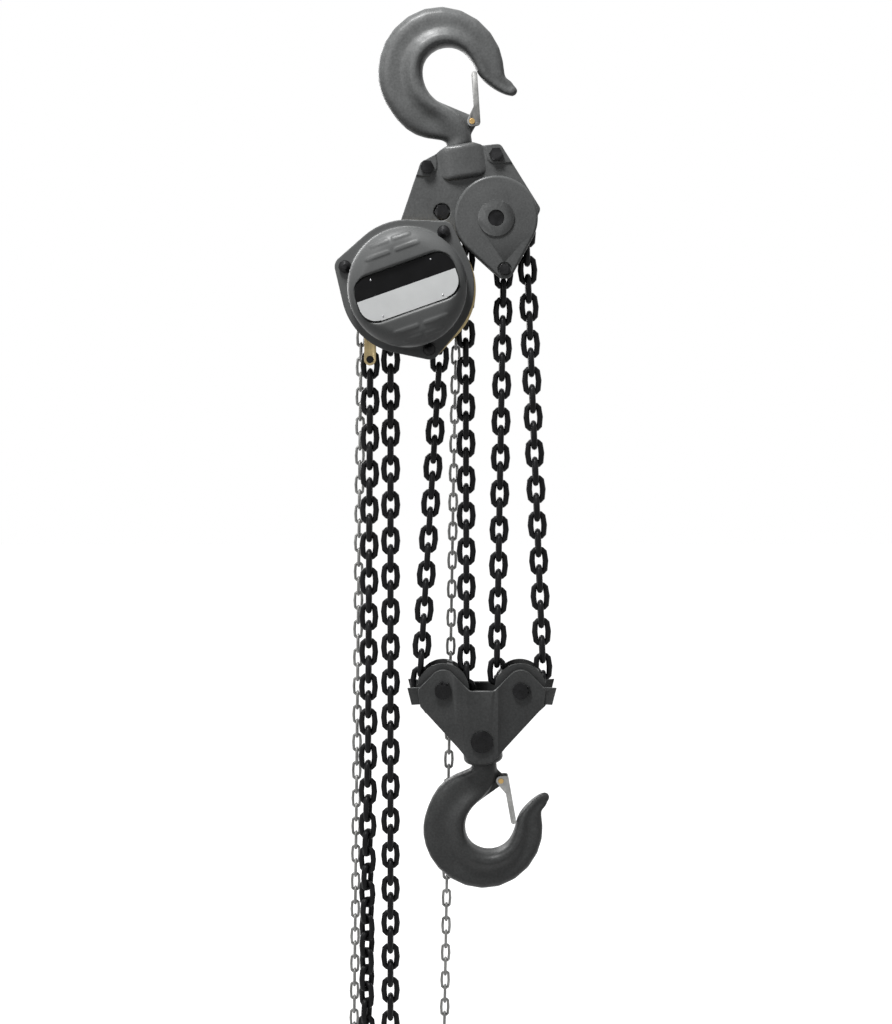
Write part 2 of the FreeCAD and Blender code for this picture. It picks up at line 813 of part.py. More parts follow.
def build_yoke():
    """Round block on two trunnions, bored for the bottom hook's neck."""
    low = fit - yoke_body_drop
    body = Part.makeCylinder(yoke_body_radius, yoke_body_top - fit - low, FreeCAD.Vector(0, 0, low))
    body = body.makeFillet(yoke_body_edge, [edge for edge in body.Edges if edge.BoundBox.ZMax < low + fit])
    wide = FreeCAD.Vector(yoke_body_radius + overrun, yoke_body_half, yoke_body_top + overrun)
    body = body.common(box(FreeCAD.Vector(-wide.x, -wide.y, low - overrun), wide))
    reach = block_half_gap + block_band_rise + block_plate_thickness + yoke_trunnion_rise
    body = body.fuse(rod((0.0, 0.0), yoke_trunnion_radius, -reach, reach))
    bore = Part.makeCylinder(shank_neck_radius + fit, yoke_body_drop + yoke_body_top + 2 * overrun,
                             FreeCAD.Vector(0, 0, low - overrun))
    body = body.cut(bore)
    body.translate(at(yoke_axis))
    save("hook_yoke", turned(body, yoke_axis, bottom_hook_lean))


# Upper frame

def frame_rounds():
    rounds = [(frame_left + x * frame_width, frame_top - z * frame_height, frame_corner_radius)
              for x, z in frame_corner_shares]
    return rounds + [(frame_neck_side, frame_neck_height, -frame_neck_radius), anchor + (tip_radius,)]


def frame_bolts():
    return ((frame_bolt_left_side, frame_bolt_left_height), (frame_bolt_right_side, frame_bolt_right_height))


def upper_stud():
    return away(body_axis, 90 + body_tilt - stud_spread, stud_circle)


def frame_holes(side):
    reach = frame_face + boss_rise + overrun
    holes = [rod(place, frame_bolt_radius, -reach, reach) for place in frame_bolts()]
    holes.append(rod(cross_bolt, cross_bolt_radius, -reach, reach))
    low, high = sorted((side * (frame_face - cross_recess_depth), side * reach))
    holes.append(rod(cross_bolt, cross_recess_radius, low, high))
    holes.append(rod(link_bolt, stay_radius, -reach, reach))
    holes.append(rod(upper_stud(), stay_radius, -reach, reach))
    holes.append(rod(idler_axis, idler_pin_radius, -reach, reach))
    holes.append(rod(anchor, anchor_pin_radius, -reach, reach))
    return holes


def corner_pads(low, high):
    """Raised seats of the two frame bolts, running out over the plate's upper corners."""
    pads = []
    for place, way in zip(frame_bolts(), (-1, 1)):
        upper = away(place, 90 - way * (90 - pad_up_angle), pad_reach)
        outer = away(place, 90 - way * (90 - pad_side_angle), pad_reach)
        rounds = [corner + (pad_radius,) for corner in (place, outer, upper)]
        pads.append(slab(rounds if way > 0 else rounds[:1] + rounds[:0:-1], low, high))
    return pads


def build_frame_plates():
    """Cast plates with a raised boss over the crosshead and a pad under each bolt."""
    half = boss_width / 2 - boss_corner
    rise = boss_height / 2 - boss_corner
    middle = (hook_centre[0], hook_centre[1] - boss_drop)
    corners = ((half, -rise), (half, rise), (-half, rise), (-half, -rise))
    boss_rounds = [(middle[0] + x, middle[1] + z, boss_corner) for x, z in corners]
    for name, side in (("front_frame_plate", -1), ("rear_frame_plate", 1)):
        low, high = sorted((side * frame_gap_half, side * frame_face))
        plate = slab(frame_rounds(), low, high)
        low, high = sorted((side * frame_gap_half, side * (frame_face + boss_rise)))
        boss = slab(boss_rounds, low, high)
        boss = boss.makeFillet(boss_edge, flat_edges(boss, side * (frame_face + boss_rise)))
        boss = turned(boss, hook_centre, hook_lean)
        low, high = sorted((side * frame_gap_half, side * (frame_face + pad_rise)))
        pads = [pad.common(slab(frame_rounds(), low, high)) for pad in corner_pads(low, high)]
        save(name, plate.fuse([boss] + pads).cut(frame_holes(side)))


def build_crosshead():
    """Bar between the frame plates that carries the top hook's neck."""
    size = FreeCAD.Vector(crosshead_half_length, frame_gap_half, 0)
    bar = box(FreeCAD.Vector(-size.x, -size.y, top_shank_length + fit),
              FreeCAD.Vector(size.x, size.y, top_shank_length + crosshead_height - fit))
    bar = bar.cut(Part.makeCylinder(shank_neck_radius + fit, top_shank_length + crosshead_height))
    save("hook_crosshead", place_top(bar))


def build_frame_fasteners():
    bolts = []
    sleeves = []
    for place in frame_bolts():
        bolts.append(bolt(place, frame_bolt_radius, -frame_face - pad_rise, frame_face + pad_rise))
        sleeves.append(sleeve(place, frame_bolt_radius + sleeve_wall, frame_bolt_radius + fit,
                              -frame_gap_half, frame_gap_half))
    seat = frame_face - cross_recess_depth
    shaft = rod(cross_bolt, cross_bolt_radius, -seat, seat)
    front = hexagon(cross_bolt, cross_recess_radius - overrun, -frame_face, -seat)
    back = hexagon(cross_bolt, cross_recess_radius - overrun, seat, frame_face)
    save("frame_bolts", *bolts)
    save("frame_cross_bolt", shaft.fuse([front, back]))
    sleeves.append(sleeve(cross_bolt, cross_bolt_radius + sleeve_wall, cross_bolt_radius + fit,
                          -frame_gap_half, frame_gap_half))
    link_half = chain_wire / 2 + seat_gap
    for low, high in ((-frame_gap_half, -link_half), (link_half, frame_gap_half)):
        sleeves.append(sleeve(anchor, anchor_pin_radius + sleeve_wall, anchor_pin_radius + fit, low, high))
    spans = ((studs()[0], frame_face), (upper_stud(), frame_gap_half), (link_bolt, frame_gap_half))
    for place, reach in spans:
        sleeves.append(sleeve(place, stay_sleeve_radius, stay_radius + fit, -reach, reach))
    save("spacer_sleeves", *sleeves)


def flat_edges(shape, depth):
    """Edges of the shape that lie in the plane at this depth."""
    return [edge for edge in shape.Edges
            if abs(edge.BoundBox.YMin - depth) < fit and abs(edge.BoundBox.YMax - depth) < fit]


def build_idler(phase):
    outer = frame_face + cheek_thickness
    rounds = [anchor + (tip_radius,), idler_axis + (cheek_radius,)]
    for name, side in (("front_idler_cheek", -1), ("rear_idler_cheek", 1)):
        low, high = sorted((side * frame_face, side * outer))
        cheek = slab(rounds, low, high)
        cheek = cheek.makeFillet(cheek_edge, flat_edges(cheek, side * outer))
        reach = outer + cheek_disc_rise
        low, high = sorted((side * frame_face, side * reach))
        cheek = cheek.fuse(rod(idler_axis, cheek_disc_radius, low, high))
        reach += overrun
        low, high = sorted((side * (outer - tip_recess_depth), side * reach))
        save(name, cheek.cut([rod(idler_axis, idler_pin_radius, -reach, reach),
                              rod(anchor, anchor_pin_radius, -reach, reach),
                              rod(anchor, tip_recess_radius, low, high)]))
    save("idler_pin", rod(idler_axis, idler_pin_radius, -outer, outer))
    seat = outer - tip_recess_depth
    save("chain_anchor_pin", bolt(anchor, anchor_pin_radius, -seat, seat))
    bush = idler_pin_radius + idler_bush_wall
    hub_reach = frame_gap_half - seat_gap
    wheel = pocket_wheel(idler_axis, 0.0, idler_pockets, load_chain, idler_radius,
                         wheel_half_width, wheel_rim_rise, phase)
    wheel = wheel.fuse(rod(idler_axis, bush + idler_bush_wall, -hub_reach, hub_reach))
    save("idler_sheave", wheel.cut(rod(idler_axis, bush + fit, -hub_reach - overrun, hub_reach + overrun)))
    save("idler_bush", sleeve(idler_axis, bush, idler_pin_radius, -hub_reach, hub_reach))


# Hoist body

def studs():
    return [away(body_axis, 90 + body_tilt + turn, stud_circle) for turn in (stud_spread, -stud_spread, 180)]


def lobed_plate(radius, bulge, sag, low, high):
    """Round plate drawn out to a lobe at each stud, with its right side moved outwards and down."""
    upper_left, upper_right, bottom = [place + (lobe_radius,) for place in studs()]
    whole = body_axis + (radius,)
    right = (body_axis[0] + bulge, body_axis[1] - sag, radius)
    return slab([upper_right, whole, upper_left, whole, bottom, right], low, high)


def build_body_plates():
    """Plates that carry the load sheave's bearings, each in a housing turned inwards."""
    for name, side in (("gear_side_plate", -1), ("wheel_side_plate", 1)):
        low, high = sorted((side * frame_face, side * body_face))
        plate = lobed_plate(side_plate_radius, side_plate_bulge, side_plate_sag, low, high)
        housing_low, housing_high = sorted((side * (body_face - bearing_width), side * body_face))
        plate = plate.fuse(rod(body_axis, bearing_outer + sleeve_wall, housing_low, housing_high))
        low -= overrun
        high += overrun
        holes = [rod(place, stay_radius, low, high) for place in studs() + [link_bolt]]
        holes.append(rod(body_axis, bearing_outer, housing_low - overrun, housing_high + overrun))
        holes.append(rod(guide_bar, guide_bar_radius, low, high))
        holes.append(rod(tail_bar, tail_bar_radius, low, high))
        if side < 0:
            holes += [rod(place, gear_shaft_radius + fit, low, high) for place in gear_shafts()]
        save(name, plate.cut(holes))


def build_stays():
    """Long stays through both plates, a short screw on each side at the bottom, and the bolt to the frame."""
    front = -cover_face - cap_nut_height / 2
    back = body_face + wheel_cover_wall
    head = stay_radius * bolt_head_ratio
    low_stud = studs()[2]
    stays = []
    for place in studs()[:2]:
        head_end = back + bolt_head_height
        stays.append(rod(place, stay_radius, front, back).fuse(hexagon(place, head, back, head_end)))
    inner = frame_face - bolt_head_height
    inner_head = hexagon(low_stud, head, -frame_face, -inner)
    stays.append(rod(low_stud, stay_radius, front, -frame_face).fuse(inner_head))
    outer_head = hexagon(low_stud, head, back, back + bolt_head_height)
    stays.append(rod(low_stud, stay_radius, frame_face, back).fuse(outer_head))
    stays.append(rod(link_bolt, stay_radius, -body_face, body_face))
    save("stay_bolts", *stays)
    save("cover_cap_nuts", *[cap_nut(place, -cover_face) for place in studs()])


def cap_nut(place, face):
    """Domed nut on the end of a stay bolt, in front of the cover."""
    half = cap_nut_height / 2
    base = rod(place, cap_nut_radius, face - half, face)
    dome = Part.makeCone(cap_nut_radius * cap_nut_dome_share, cap_nut_radius * cap_nut_top_share, half,
                         at(place, face - half), FreeCAD.Vector(0, -1, 0))
    bore = rod(place, stay_radius, face - half, face)
    return base.fuse(dome).cut(bore)


def bar_rounds(half_length, half_height, corner):
    """Corners of a rounded bar at the body axis."""
    x = half_length - corner
    z = half_height - corner
    turns = ((1, -1), (1, 1), (-1, 1), (-1, -1))
    return [(body_axis[0] + a * x, body_axis[1] + b * z, corner) for a, b in turns]


def cover_slot(front):
    """What the sunk field takes out of the dome: a level floor and a mouth that opens outwards."""
    half_length = dome_radius - slot_end_gap
    field = slab(bar_rounds(half_length, slot_half_height, slot_corner), front - overrun, front + slot_depth)
    wires = []
    for spread, depth in ((slot_mouth + overrun, front - overrun), (0.0, front + slot_mouth)):
        wire = outline(bar_rounds(half_length + spread, slot_half_height + spread, slot_corner + spread))
        wire.translate(FreeCAD.Vector(0, depth, 0))
        wires.append(wire)
    return turned(field.fuse(Part.makeLoft(wires, True, True)), body_axis, body_tilt)


def dome_solid(radius, edge, front):
    dome = rod(body_axis, radius, front, -body_face)
    return dome.makeFillet(edge, flat_edges(dome, front))


def cover_ribs(front):
    """Low ribs that follow the dome, in two rows on each side of the sunk field."""
    skin = dome_solid(dome_radius + rib_rise, dome_edge + rib_rise, front - rib_rise)
    ribs = []
    for start_share, end_share, away_share in rib_place_shares:
        for flip in (1, -1):
            height = body_axis[1] + flip * away_share * dome_radius
            ends = sorted(body_axis[0] + flip * share * dome_radius for share in (start_share, end_share))
            rib = slab([(side, height, rib_width / 2) for side in ends], front - rib_rise, front + slot_depth)
            ribs.append(turned(rib, body_axis, body_tilt).common(skin))
    return ribs


def build_gear_cover():
    """Cast dome over the gears with a sunk field for the data plate and a boss inside for each shaft."""
    front = -cover_face - dome_depth
    dome = dome_solid(dome_radius, dome_edge, front)
    cover = lobed_plate(cover_flange_radius, 0.0, 0.0, -cover_face, -body_face).fuse(dome)
    inside = front + slot_depth + cover_wall
    cavity = rod(body_axis, dome_radius - cover_wall, inside, overrun - body_face)
    cavity = cavity.makeFillet(dome_edge - cover_wall, flat_edges(cavity, inside))
    holes = [rod(place, stay_radius, -cover_face - overrun, overrun - body_face) for place in studs()]
    cover = cover.cut([cover_slot(front), cavity] + holes)
    shafts = [body_axis] + gear_shafts()
    bosses = [rod(place, cover_bearing_radius, inside - fit, fine_gear_front - seat_gap) for place in shafts]
    bores = [rod(place, gear_shaft_radius + fit, inside, fine_gear_front) for place in shafts]
    save("gear_cover", cover.fuse(bosses).cut(bores).fuse(cover_ribs(front)))
    recess = front + slot_depth
    plate = bar_rounds(dome_radius - slot_end_gap - plate_margin, slot_half_height - plate_margin,
                       slot_corner - plate_margin)
    save("data_plate", turned(slab(plate, recess - data_plate_thickness, recess), body_axis, body_tilt))


# Gear train

def gear_shafts():
    return [away(body_axis, body_tilt + turn, gear_spread) for turn in (0, 180)]


def spur_gear(place, teeth, low, high, phase):
    """Straight-sided teeth with rounded-off height and free backlash; a tooth stands at the phase angle."""
    radius = gear_module * teeth / 2
    tip = radius + gear_module * tooth_tip_share
    root = radius - gear_module * tooth_root_share
    half = gear_module * pi * tooth_share / 2
    lean = tan(radians(pressure_angle))
    corners = []
    for k in range(teeth):
        centre = phase + 360.0 * k / teeth
        for reach, sign in ((root, -1), (tip, -1), (tip, 1), (root, 1)):
            width = half - (reach - radius) * lean
            corners.append(at(away(place, centre + sign * degrees(width / reach), reach), low))
    face = Part.Face(Part.makePolygon(corners + corners[:1]))
    return face.extrude(FreeCAD.Vector(0, high - low, 0))


def build_gears():
    """Two steps down: the pinion drives two large wheels, their small gears drive the load gear."""
    half_pitch = 180.0 / wheel_teeth
    load = spur_gear(body_axis, wheel_teeth, coarse_gear_front, coarse_gear_back, body_tilt + half_pitch)
    load = load.fuse(rod(body_axis, hub_radius, coarse_gear_back, -body_face))
    bore = rod(body_axis, hub_bore_radius + sleeve_wall, coarse_gear_front - overrun, overrun - body_face)
    save("load_gear", load.cut(bore))
    for name, place, turn in (("right_intermediate_gear", gear_shafts()[0], 180),
                              ("left_intermediate_gear", gear_shafts()[1], 0)):
        wheel = spur_gear(place, wheel_teeth, fine_gear_front, fine_gear_back, body_tilt + turn + half_pitch)
        small = spur_gear(place, pinion_teeth, coarse_gear_front, fine_gear_back, body_tilt + turn)
        shaft = rod(place, gear_shaft_radius, fine_gear_front - journal_length, -frame_face)
        save(name, wheel.fuse([small, shaft]))
    pinion = spur_gear(body_axis, pinion_teeth, fine_gear_front, fine_gear_back, body_tilt)
    back = hand_wheel_plane + hand_wheel_half_width + shaft_nut_height + overrun
    shaft = rod(body_axis, pinion_shaft_radius, fine_gear_front - journal_length, back)
    save("pinion_shaft", pinion.fuse(shaft))


def build_load_sheave(phase):
    """Load chain wheel with a long hub: it turns in both side plates and carries the load gear."""
    wheel = pocket_wheel(body_axis, 0.0, load_pockets, load_chain, load_radius,
                         wheel_half_width, wheel_rim_rise, phase)
    hub = rod(body_axis, hub_radius, -body_face, body_face)
    seat = rod(body_axis, hub_bore_radius + sleeve_wall, coarse_gear_front, -body_face)
    bore = rod(body_axis, hub_bore_radius, coarse_gear_front - overrun, body_face + overrun)
    save("load_sheave", wheel.fuse([hub, seat]).cut(bore))
    inner = body_face - bearing_width
    front = sleeve(body_axis, bearing_outer, hub_radius + fit, -body_face, -inner)
    back = sleeve(body_axis, bearing_outer, hub_radius + fit, inner, body_face)
    save("load_sheave_bearings", front, back)


# Brake and hand wheel

def build_brake():
    """Flanged hub, two friction discs and the ratchet disc between them, with its pawl on a stepped pin."""
    flange_back = brake_start + brake_flange_thickness
    hub = rod(body_axis, brake_flange_radius, brake_start, flange_back)
    hub_back = hand_hub_front + friction_thickness
    hub = hub.fuse(rod(body_axis, brake_hub_radius, body_face + seat_gap, hub_back))
    save("brake_hub", hub.cut(rod(body_axis, pinion_shaft_radius, body_face, hand_wheel_plane)))
    front = flange_back + fit
    ratchet_front = front + friction_thickness
    ratchet_back = ratchet_front + ratchet_thickness
    back = ratchet_back + friction_thickness
    bore = brake_hub_radius + fit
    save("friction_discs", sleeve(body_axis, friction_radius, bore, front, ratchet_front),
         sleeve(body_axis, friction_radius, bore, ratchet_back, back))
    corners = []
    for k in range(ratchet_teeth):
        angle = 360.0 * k / ratchet_teeth
        corners.append(at(away(body_axis, angle, ratchet_radius), ratchet_front))
        corners.append(at(away(body_axis, angle, ratchet_root), ratchet_front))
    disc = Part.Face(Part.makePolygon(corners + corners[:1])).extrude(FreeCAD.Vector(0, ratchet_thickness, 0))
    save("ratchet_disc", disc.cut(rod(body_axis, bore, ratchet_front - overrun, ratchet_back + overrun)))
    pivot = away(body_axis, pawl_angle, pawl_distance)
    nose = away(body_axis, pawl_angle - pawl_reach_angle, (ratchet_radius + ratchet_root) / 2)
    pawl = slab([pivot + (pawl_radius,), nose + (pawl_nose_radius,)], ratchet_front, ratchet_back)
    save("pawl", pawl.cut(rod(pivot, pawl_pin_radius + fit, ratchet_front - overrun, ratchet_back + overrun)))
    pin = rod(pivot, pawl_pin_radius, body_face, back)
    save("pawl_pin", pin.fuse(rod(pivot, pawl_radius, body_face, ratchet_front - fit)))
    save("pawl_spring", sleeve(pivot, pawl_radius - overrun, pawl_pin_radius + fit, ratchet_back + fit, back))


def build_hand_wheel(phase):
    """Hand chain wheel with a dished web on a hub that screws up against the brake."""
    wheel = pocket_wheel(body_axis, hand_wheel_plane, hand_pockets, hand_chain, hand_radius,
                         hand_wheel_half_width, hand_rim_rise, phase)
    low = hand_wheel_plane - hand_wheel_half_width
    high = hand_wheel_plane + hand_wheel_half_width
    rim_inner = hand_radius - hand_half_width * 2 - hand_rim_rise
    web_half = hand_web_thickness / 2
    hollow_front = sleeve(body_axis, rim_inner, wheel_hub_radius, low - overrun, hand_wheel_plane - web_half)
    hollow_back = sleeve(body_axis, rim_inner, wheel_hub_radius, hand_wheel_plane + web_half, high + overrun)
    wheel = wheel.cut([hollow_front, hollow_back]).fuse(rod(body_axis, wheel_hub_radius, hand_hub_front, low))
    bore = rod(body_axis, pinion_shaft_radius, hand_hub_front - overrun, high + overrun)
    seat = rod(body_axis, brake_hub_radius, hand_hub_front - overrun, hand_hub_front + friction_thickness)
    save("hand_wheel", wheel.cut([bore, seat]))
    nut = hexagon(body_axis, shaft_nut_radius, high, high + shaft_nut_height)
    save("hand_wheel_nut", nut.cut(rod(body_axis, pinion_shaft_radius, high, high + shaft_nut_height)))


def build_wheel_cover():
    """Pressed cup over the hand wheel, flanged to the studs, with a mouth for each side of the hand chain."""
    cover = lobed_plate(cover_flange_radius, 0.0, 0.0, body_face, body_face + wheel_cover_wall)
    cover = cover.fuse(rod(body_axis, wheel_cover_radius, body_face, wheel_cover_back))
    inside = rod(body_axis, wheel_cover_radius - wheel_cover_wall, body_face - overrun,
                 wheel_cover_back - wheel_cover_wall)
    half = hand_half_width + wheel_cover_mouth
    flange_back = body_face + wheel_cover_wall
    cuts = [rod(place, stay_radius, body_face - overrun, flange_back + overrun) for place in studs()]
    for side in (-1, 1):
        strand = body_axis[0] + side * hand_radius
        rim = body_axis[0] + side * (wheel_cover_radius + overrun)
        left, right = sorted((strand - side * half, rim))
        low = FreeCAD.Vector(left, hand_wheel_plane - half, body_axis[1] - wheel_cover_radius - overrun)
        cuts.append(box(low, FreeCAD.Vector(right, hand_wheel_plane + half, body_axis[1])))
    save("hand_wheel_cover", cover.cut([inside] + cuts))


# Chain guide and tail anchor

def build_guide_and_anchor():
    """Blade that leads the slack chain off the load sheave, and the clevis for the chain's free end."""
    blade = slab([guide_bar + (guide_nose_radius,), guide_nose + (guide_nose_radius,)],
                 -guide_half_width, guide_half_width)
    save("chain_guide", blade.fuse(rod(guide_bar, guide_bar_radius, -body_face, body_face)))
    straps = []
    inner = tail_strap_gap_half
    outer = tail_strap_gap_half + tail_strap_thickness
    for low, high in ((-outer, -inner), (inner, outer)):
        strap = slab([tail_pin + (tail_eye_radius,), tail_bar + (tail_strap_width / 2,)], low, high)
        holes = [rod(tail_pin, tail_pin_radius, low - overrun, high + overrun),
                 rod(tail_bar, tail_bar_radius, low - overrun, high + overrun)]
        straps.append(strap.cut(holes))
    save("tail_anchor", *straps)
    bar = rod(tail_bar, tail_bar_radius, -body_face, body_face)
    save("tail_anchor_pins", bar, rod(tail_pin, tail_pin_radius, -outer - overrun, outer + overrun))


# Lower block

def block_rounds():
    valley = block_wheel_height + block_valley_radius
    half = block_valley_width / 2
    lobe = block_wheel_height + block_lobe_rise
    wing = block_wheel_height
    shoulder = block_wheel_height - block_shoulder_drop
    return [
        (yoke_axis[0], yoke_axis[1], bottom_lobe_radius),
        (block_centre_side + block_shoulder_side, shoulder, block_shoulder_radius),
        (block_centre_side + block_wing_side, wing, block_wing_radius),
        (right_wheel[0], lobe, block_lobe_radius),
        (block_centre_side + half, valley, -block_valley_radius),
        (block_centre_side - half, valley, -block_valley_radius),
        (left_wheel[0], lobe, block_lobe_radius),
        (block_centre_side - block_wing_side, wing, block_wing_radius),
        (block_centre_side - block_shoulder_side, shoulder, block_shoulder_radius),
    ]


def block_profile(side):
    """Pressed section of a block plate seen from above, with a raised band in the middle."""
    end = block_wheel_spacing
    ramp = block_band_half + block_band_ramp
    inner = block_half_gap
    outer = block_half_gap + block_plate_thickness
    rise = block_band_rise
    points = [(-end, inner), (-ramp, inner), (-block_band_half, inner + rise),
              (block_band_half, inner + rise), (ramp, inner), (end, inner),
              (end, outer), (ramp, outer), (block_band_half, outer + rise),
              (-block_band_half, outer + rise), (-ramp, outer), (-end, outer)]
    base = yoke_height - bottom_lobe_radius - overrun
    corners = [FreeCAD.Vector(block_centre_side + x, side * y, base) for x, y in points]
    face = Part.Face(Part.makePolygon(corners + corners[:1]))
    top = block_wheel_height + block_lobe_rise + block_lobe_radius + overrun
    return face.extrude(FreeCAD.Vector(0, 0, top - base))


def block_lip(side, way):
    """Flared guide lip at one end of a block plate."""
    start = block_wing_side
    inner = block_half_gap
    outer = block_half_gap + block_plate_thickness / 2
    points = [(start - block_shoulder_radius, inner), (start, inner),
              (start + block_lip_reach, inner + block_lip_flare),
              (start + block_lip_reach, outer + block_lip_flare), (start, outer),
              (start - block_shoulder_radius, outer)]
    top = block_wheel_height + block_wing_radius
    corners = [FreeCAD.Vector(block_centre_side + way * x, side * y, top) for x, y in points]
    face = Part.Face(Part.makePolygon(corners + corners[:1]))
    lip = face.extrude(FreeCAD.Vector(0, 0, -block_lip_height))
    root = block_centre_side + way * (start - block_shoulder_radius)
    tip = block_centre_side + way * (start + block_lip_reach)
    foot = tip - way * block_lip_slant
    rounds = [(root, top, 0.0), (root, top - block_lip_height, 0.0), (foot, top - block_lip_height, 0.0),
              (tip, top, 0.0)]
    depth = outer + block_lip_flare + overrun
    return lip.common(slab(rounds if way > 0 else rounds[::-1], -depth, depth))


def build_block(left_phase, right_phase):
    reach = block_half_gap + block_band_rise + block_plate_thickness + overrun
    for name, side in (("block_front_plate", -1), ("block_rear_plate", 1)):
        plate = slab(block_rounds(), -reach, reach).common(block_profile(side))
        plate = plate.fuse([block_lip(side, 1), block_lip(side, -1)])
        holes = [rod(place, block_pin_radius, -reach, reach) for place in (left_wheel, right_wheel)]
        holes.append(rod(yoke_axis, yoke_trunnion_radius + fit, -reach, reach))
        save(name, plate.cut(holes).removeSplitter())
    outer = block_half_gap + block_plate_thickness
    bush = block_pin_radius + block_bush_wall
    hub_reach = block_half_gap - seat_gap
    pins = []
    bushes = []
    for name, place, phase in (("left_block_sheave", left_wheel, left_phase),
                               ("right_block_sheave", right_wheel, right_phase)):
        wheel = pocket_wheel(place, 0.0, block_pockets, load_chain, block_radius,
                             wheel_half_width, wheel_rim_rise, phase)
        wheel = wheel.fuse(rod(place, bush + block_bush_wall, -hub_reach, hub_reach))
        save(name, wheel.cut(rod(place, bush + fit, -hub_reach - overrun, hub_reach + overrun)))
        bushes.append(sleeve(place, bush, block_pin_radius, -hub_reach, hub_reach))
        pin = rod(place, block_pin_radius, -outer, outer)
        heads = [rod(place, block_pin_head, -outer - block_pin_head_height, -outer),
                 rod(place, block_pin_head, outer, outer + block_pin_head_height)]
        pins.append(pin.fuse(heads))
    save("block_sheave_pins", *pins)
    save("block_bushes", *bushes)


# Chains

def build_load_chain():
    """Load chain in three groups: at the hoist, at the lower block, and in the hanging loop."""
    steps = link_steps(chain_pitch, chain_wire, chain_play)
    joints, bottom = fit_chain(load_chain_pieces, steps, loop_bottom, 1)
    link = link_solid(chain_wire, chain_pitch, chain_inner_width, chain_play)
    groups = {"upper_load_chain": [], "lower_load_chain": [], "hanging_load_chain": []}
    for k in range(len(joints) - 1):
        high, low = joints[k][0], joints[k + 1][0]
        name = "upper_load_chain"
        if joints[k + 1][1] > load_arc:
            name = "hanging_load_chain"
        elif (low[1] + high[1]) / 2 < falls_split:
            name = "lower_load_chain"
        roll = link_roll[k % 2] + tail_roll(joints[k])
        groups[name].append(hang_link(link, low, high, 0.0, roll))
    for name, links in groups.items():
        save(name, *links)
    print("load chain links", len(joints) - 1, "loop bottom", round(bottom, 2))
    return joints


def tail_roll(joint):
    """Turn of a link on the tail side of the hanging loop: it grows on the way down and then fades."""
    height = joint[0][1]
    if joint[1] <= loop_arc + 2:
        return 0.0
    grown = (tail_twist_start - height) / (tail_twist_start - tail_twist_full)
    faded = (height - tail_twist_end) / (tail_twist_fade - tail_twist_end)
    return tail_twist * max(0.0, min(1.0, grown, faded))


def build_hand_chain():
    steps = link_steps(hand_pitch, hand_wire, hand_play)
    joints, bottom = fit_chain(hand_chain_pieces, steps, hand_loop_bottom, 0)
    link = link_solid(hand_wire, hand_pitch, hand_inner_width, hand_play)
    links = [hang_link(link, joints[k + 1][0], joints[k][0], hand_wheel_plane, link_roll[k % 2])
             for k in range(len(joints) - 1)]
    save("hand_chain", *links)
    print("hand chain links", len(joints) - 1, "loop bottom", round(bottom, 2))
    return joints


def main():
    os.makedirs("parts", exist_ok=True)
    load = build_load_chain()
    hand = build_hand_chain()
    build_hooks()
    build_yoke()
    build_crosshead()
    build_frame_plates()
    build_frame_fasteners()
    build_idler(wheel_phase(load, idler_arc, idler_axis))
    build_body_plates()
    build_stays()
    build_gear_cover()
    build_gears()
    build_load_sheave(wheel_phase(load, load_arc, body_axis))
    build_brake()
    build_hand_wheel(wheel_phase(hand, 0, body_axis))
    build_wheel_cover()
    build_guide_and_anchor()
    build_block(wheel_phase(load, left_arc, left_wheel), wheel_phase(load, right_arc, right_wheel))


main()
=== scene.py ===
import json
from math import cos, pi, radians, sin

import bpy
import numpy
from mathutils import Matrix, Vector


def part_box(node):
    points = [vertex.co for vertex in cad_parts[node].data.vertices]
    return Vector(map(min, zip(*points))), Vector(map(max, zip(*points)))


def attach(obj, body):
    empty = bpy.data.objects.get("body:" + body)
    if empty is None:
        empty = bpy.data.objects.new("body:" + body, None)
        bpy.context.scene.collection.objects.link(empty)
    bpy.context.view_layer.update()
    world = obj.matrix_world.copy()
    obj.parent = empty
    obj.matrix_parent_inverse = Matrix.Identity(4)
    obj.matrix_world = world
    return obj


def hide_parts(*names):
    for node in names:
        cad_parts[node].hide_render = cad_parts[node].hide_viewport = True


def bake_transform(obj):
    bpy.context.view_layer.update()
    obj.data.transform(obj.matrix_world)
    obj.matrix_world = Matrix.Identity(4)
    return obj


bl_info = {
    "name": "Hand Chain Hoist",
    "version": (1, 0, 0),
    "blender": (4, 5, 0),
    "location": "View3D > Sidebar > Hoist",
    "description": "Finishes a hand chain hoist: castings, plates, chains, latches and data plate",
    "category": "Object",
}

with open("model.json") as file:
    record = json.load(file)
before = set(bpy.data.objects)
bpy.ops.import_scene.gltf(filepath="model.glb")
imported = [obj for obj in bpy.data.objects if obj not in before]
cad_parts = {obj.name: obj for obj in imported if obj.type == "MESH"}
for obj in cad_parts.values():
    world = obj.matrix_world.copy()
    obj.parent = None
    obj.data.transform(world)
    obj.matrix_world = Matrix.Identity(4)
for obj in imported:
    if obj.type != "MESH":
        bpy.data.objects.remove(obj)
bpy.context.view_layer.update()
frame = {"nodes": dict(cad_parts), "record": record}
record = frame["record"]
body_of_node = {
    node: body for body, nodes in record["behaviour"]["bodies"].items() for node in nodes}
slot_of_node = {part["node"]: part["material_slot"] for part in record["subparts"]}

# The camera is a pinhole that fits the photo. Its focal length is in pixels of the picture.
focal_length = 1824
picture_height = 1024
sensor_width = 36
camera_place = (-0.0032, -3.0, -0.3577)
camera_tilt = radians(7.5)

floor_height = -1.86
floor_width = 14

# Corners of CAD triangles that are nearer to each other than this are one corner.
merge_gap = 1e-6
# Neighbouring faces within this angle lie in one flat face.
flat_angle = radians(0.6)
# Edges sharper than this are rounded.
edge_angle = radians(32)
# A face looks to the front if its normal points there by at least this share.
front_share = 0.9
# The data plate's two fields are larger than this, and its border's faces smaller.
field_area = 1e-4
